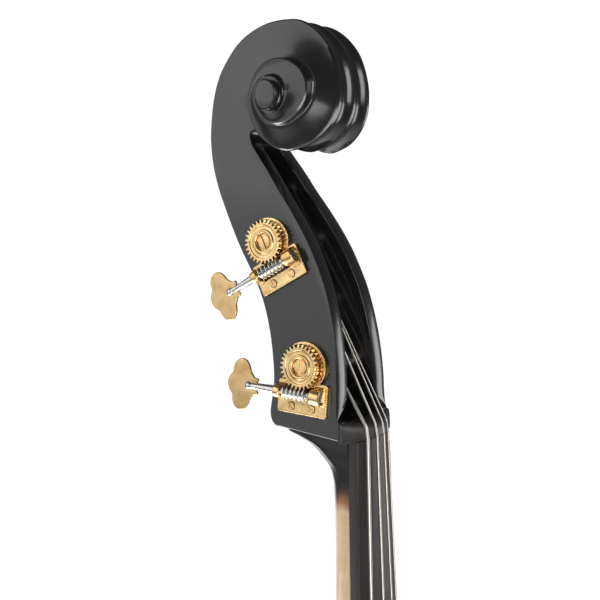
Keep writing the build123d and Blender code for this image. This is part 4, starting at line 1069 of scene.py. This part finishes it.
def make_wheel():
    shape = Shape()
    low, high = 3.5, 8.5
    twist = math.radians(1.43)
    rows = []
    for z, shrink in ((low, 0.45), (low + 0.35, 0.08), (low + 0.8, 0.0), ((low + high) / 2, 0.0), (high - 0.8, 0.0), (high - 0.35, 0.08), (high, 0.45)):
        lean = twist * (2 * (z - low) / (high - low) - 1)
        rows.append([
            Vector(((r - shrink) * math.cos(a + lean), (r - shrink) * math.sin(a + lean), z)) for r, a in gear_loop(15.0, 12.75)
        ])
    shape.sheet(rows, closed_columns=True)
    # turned faces, from the teeth's foot in to the bore
    base = 11.95
    for face, sign in ((high, -1), (low, 1)):
        ring = rows[-1] if face == high else rows[0]
        shape.sheet([ring, [Vector((base * p.x / math.hypot(p.x, p.y), base * p.y / math.hypot(p.x, p.y), face)) for p in ring]],
                    closed_columns=True)
    profile = [(11.95, 8.5), (11.5, 8.5), (11.3, 8.42), (11.1, 8.1), (10.8, 7.85), (10.2, 7.75), (9.0, 7.75), (8.5, 7.85), (8.15, 8.1),
               (8.0, 8.45), (7.75, 8.62), (7.2, 8.7), (6.5, 8.62), (6.1, 8.4), (5.85, 8.0), (5.8, 7.4), (5.8, 6.15), (4.1, 6.1)]
    shape.add(lathe(profile, TEETH * 8))
    shape.add(lathe(((4.1, 6.1), (4.1, 3.5), (11.95, 3.5)), TEETH * 8))
    return shape


def slotted_loop(radius, half):
    """Two halves of a disc on either side of a screwdriver's slot."""
    edge = math.asin(half / radius)
    halves = []
    for middle in (0, math.pi):
        halves.append([
            (radius * math.cos(middle - math.pi / 2 + edge + (math.pi - 2 * edge) * k / 24),
             radius * math.sin(middle - math.pi / 2 + edge + (math.pi - 2 * edge) * k / 24)) for k in range(25)
        ])
    return halves


def make_gear_screw():
    shape = Shape()
    shape.add(lathe(((4.7, 6.0), (4.7, 6.35), (0, 6.35)), 48))
    for half in slotted_loop(4.65, 0.6):
        half = [(y, x) for x, y in half][::-1]
        shape.add(outline_mesh([half], 6.1, 7.3, 0.3))
    turned = Shape()
    spin = Matrix.Rotation(math.radians(90), 4, "Z")
    turned.add(shape, spin)
    turned.add(lathe(((1.95, 6.2), (1.95, -3.0), (0, -3.6)), 24))
    return turned


def make_worm():
    """The worm's shaft about local Z, thread included; the key's end is at -z."""
    shape = Shape()
    shape.add(lathe(((0, 17.2), (2.6, 17.2), (3.1, 17.0), (3.3, 16.6), (3.3, 9.4), (3.1, 9.2), (2.5, 9.1), (2.4, 8.5), (2.4, -13.7),
                     (2.3, -14.1), (2.3, -19.1), (2.75, -19.2), (2.95, -19.5), (2.98, -20.2), (2.85, -24.0), (2.55, -29.0),
                     (2.3, -34.0), (2.2, -38.2), (2.35, -38.6), (2.65, -39.1), (2.8, -39.9), (2.8, -41.0), (2.6, -41.9),
                     (2.1, -42.6), (1.2, -43.1), (0, -43.3)), 40))
    steps, turns = 36, 6.0
    start = -4 * WORM_PITCH
    rows = []
    total = int(turns * steps)
    for k in range(total + 1):
        a = 2 * math.pi * k / steps
        z = start + WORM_PITCH * k / steps
        taper = ease(min(k, total - k) / 10)
        tip = 2.35 + (4.6 - 2.35) * max(0.02, taper)
        ring = []
        for r, dz in ((2.25, -1.28), (tip - 0.5, -0.62), (tip - 0.1, -0.42), (tip, -0.2), (tip, 0.2), (tip - 0.1, 0.42), (tip - 0.5, 0.62), (2.25, 1.28)):
            r = max(2.25, r)
            ring.append(Vector((r * math.cos(a), r * math.sin(a), z + dz)))
        rows.append(ring)
    shape.sheet(rows)
    return shape


def key_outline():
    """The key's clover in its own plane: x along the shaft, the end lobe at -x."""
    half = [(-34.1, 1.2), (-33.9, 2.5), (-33.3, 3.4), (-33.0, 4.4), (-33.6, 5.4), (-34.8, 5.6), (-35.9, 5.7), (-37.2, 6.8),
            (-38.7, 8.4), (-39.8, 10.4), (-40.6, 12.6), (-41.9, 14.8), (-43.9, 16.6), (-46.4, 17.4), (-49.2, 17.0), (-51.6, 15.5),
            (-53.2, 13.2), (-53.9, 10.8), (-54.1, 8.6), (-54.9, 7.0), (-56.3, 5.4), (-57.6, 3.2), (-58.2, 0.8)]
    loop = half + [(x, -y) for x, y in half[::-1]]
    return [p[:2] for p in catmull(loop, 5, closed=True)]


def make_key():
    shape = Shape()
    shape.add(outline_mesh([key_outline()], -0.95, 0.95, 0.55, 5), Matrix.Translation((0, -WORM_DROP, WORM_HEIGHT)))
    return shape


def make_plate_screws():
    shape = Shape()
    for x in (-8, 8):
        place = Matrix.Translation((x, -27, 0))
        shape.add(lathe(((1.5, 1.2), (2.3, 1.6), (2.35, 2.3), (2.25, 2.45), (0, 2.45)), 40), place)
        arm, wide = 1.65, 0.4
        cross = [(wide, wide), (wide, arm), (-wide, arm), (-wide, wide), (-arm, wide), (-arm, -wide), (-wide, -wide), (-wide, -arm),
                 (wide, -arm), (wide, -wide), (arm, -wide), (arm, wide)]
        top = outline_mesh([circle(2.35, steps=40), cross[::-1]], 2.3, 3.05, 0.2)
        shape.add(top, place @ Matrix.Rotation(math.radians(25 + 30 * (x > 0)), 4, "Z"))
        shape.add(lathe(((1.5, 2.0), (1.5, -9.0), (0, -11.0)), 16), place)
    return shape


MASTERS = {
    "tuner_plate": (make_plate(), "plate", BRASS, "brass", "instrument", 30),
    "worm_bearings": (make_bearings(), "bearings", BRASS, "brass", "instrument", 35),
    "worm_wheel": (make_wheel(), "gear", BRASS, "brass", "wheel_and_post", 35),
    "gear_screw": (make_gear_screw(), "slotted_screw", BRASS, "brass", "wheel_and_post", 35),
    "worm_shaft": (make_worm(), "worm", STEEL, "steel", "key_shaft", 40),
    "key": (make_key(), "clover_key", KEY_BRASS, "brass", "key_shaft", 40),
    "plate_screws": (make_plate_screws(), "screws", BRASS, "brass", "instrument", 35),
}
worm_turn = Matrix.Translation((0, -WORM_DROP, WORM_HEIGHT)) @ Matrix.Rotation(math.radians(90), 4, "Y")
for name, (centre, turn, side) in TUNERS.items():
    place = seat_matrix(centre, turn, side)
    for node, (shape, label, material, slot, body, sharp) in MASTERS.items():
        matrix = place @ worm_turn if node == "worm_shaft" else place
        piece = shape.build(f"{label}_{name}", [material], sharp, matrix, weld=1e-6)
        replaced = node if node == "plate_screws" else f"{node}_{name}"
        settle(piece, body if body == "instrument" else f"{body}_{name}", slot, replaced)

# ---- what stays as the CAD made it, with its own finish ----------------------------------
FINISHES = {
    "black_lacquer": LACQUER, "ebony": EBONY, "spruce": SPRUCE, "maple": MAPLE, "brass": BRASS, "steel": STEEL,
    "string_metal": STRING, "rubber": RUBBER, "collar_ebony": EBONY,
}
for part in frame["record"]["subparts"]:
    node = NODES[part["node"]]
    node.data.materials.clear()
    node.data.materials.append(FINISHES[part["material_slot"]])
    for polygon in node.data.polygons:
        polygon.use_smooth = True
    node.data.set_sharp_from_angle(angle=math.radians(30))

# ---- floor, light and camera --------------------------------------------------------------
floor_shape = Shape()
floor_rows = []
for radius in (0.001, 0.4, 0.9, 1.5, 2.1, 2.6):
    floor_rows.append([Vector((radius * math.cos(a / 48 * math.tau), radius * math.sin(a / 48 * math.tau), -0.0005)) for a in range(48)])
floor_shape.sheet(floor_rows, closed_columns=True)
floor_paint = Paint("pale_floor")
floor_paint.set(
    Base_Color=floor_paint.ramp(floor_paint.noise(3.0, 3, 0.5), ((0.3, (0.86, 0.86, 0.86)), (0.7, (0.90, 0.90, 0.90)))),
    Roughness=0.7,
)
floor = floor_shape.build("floor", [floor_paint.done()])

world = bpy.data.worlds.new("studio")
bpy.context.scene.world = world
world.use_nodes = True
tree = world.node_tree
tree.nodes.clear()
ray = tree.nodes.new("ShaderNodeLightPath")
seen = tree.nodes.new("ShaderNodeBackground")
seen.inputs["Color"].default_value = (1, 1, 1, 1)
seen.inputs["Strength"].default_value = 1.05
lit = tree.nodes.new("ShaderNodeBackground")
lit.inputs["Color"].default_value = (0.90, 0.93, 1.0, 1)
lit.inputs["Strength"].default_value = 0.10
choose = tree.nodes.new("ShaderNodeMixShader")
out = tree.nodes.new("ShaderNodeOutputWorld")
tree.links.new(ray.outputs["Is Camera Ray"], choose.inputs["Fac"])
tree.links.new(lit.outputs[0], choose.inputs[1])
tree.links.new(seen.outputs[0], choose.inputs[2])
tree.links.new(choose.outputs[0], out.inputs["Surface"])

HEAD = neck(-35, 130)


def softbox(name, towards, distance, width, height, power, aim=HEAD, colour=(1, 1, 1)):
    """A soft panel in a direction from the head, facing it."""
    data = bpy.data.lights.new(name, "AREA")
    data.shape = "RECTANGLE"
    data.size, data.size_y = width, height
    data.energy = power
    data.color = colour
    lamp = bpy.data.objects.new(name, data)
    bpy.context.scene.collection.objects.link(lamp)
    direction = Vector(towards).normalized()
    lamp.location = aim + direction * distance
    lamp.rotation_mode = "QUATERNION"
    lamp.rotation_quaternion = direction.to_track_quat("Z", "Y")
    lamp.visible_camera = False
    return lamp


softbox("behind_left_softbox", (-0.83, 0.55, -0.17), 1.3, 1.7, 0.60, 2.9)
softbox("behind_left_upper", (-0.80, 0.52, 0.31), 1.3, 1.7, 0.75, 5.6)
softbox("front_right_softbox", (0.80, -0.56, -0.16), 1.2, 0.50, 0.7, 3.2)
softbox("low_softbox", (-0.15, 0.30, -0.95), 0.55, 0.30, 0.30, 2.4)
softbox("front_fill", (0.1, -1.0, 0.5), 1.6, 0.8, 1.0, 11)
softbox("left_fill", (-0.55, -0.80, -0.30), 1.7, 0.6, 1.0, 7)
softbox("body_front", (-1.0, -0.9, 0.10), 2.4, 1.2, 2.2, 26, Vector((0, 0, 0.7)))
softbox("body_back", (0.6, 1.0, 0.30), 2.4, 1.2, 2.2, 16, Vector((0, 0, 0.7)))
softbox("floor_left", (0.0, 0.0, 1.0), 1.0, 0.9, 2.4, 22, Vector((-0.98, 0.3, 0.0)))
softbox("floor_right", (0.0, 0.0, 1.0), 1.0, 0.9, 2.4, 22, Vector((0.98, 0.3, 0.0)))

CAMERA_PLACE = Vector((-0.56696, -0.38497, 1.87783))
CAMERA_RIGHT = Vector((0.56122, -0.82069, 0.10698))
CAMERA_BACK = Vector((-0.82539, -0.54538, 0.14587))
FOCAL_PIXELS = 1002.7
FRAME_PIXELS = 600
view = bpy.data.cameras.new("camera")
view.sensor_width = 36.0
view.lens = FOCAL_PIXELS * view.sensor_width / FRAME_PIXELS
view.shift_x = -0.0018
view.shift_y = -0.045
view.clip_start = 0.02
camera = bpy.data.objects.new("camera", view)
bpy.context.scene.collection.objects.link(camera)
camera_up = CAMERA_BACK.cross(CAMERA_RIGHT).normalized()
turned_camera = Matrix((CAMERA_RIGHT.normalized(), camera_up, CAMERA_BACK.normalized())).transposed()
camera.matrix_world = Matrix.Translation(CAMERA_PLACE) @ turned_camera.to_4x4()
bpy.context.scene.camera = camera
bpy.context.scene.view_settings.view_transform = "Standard"
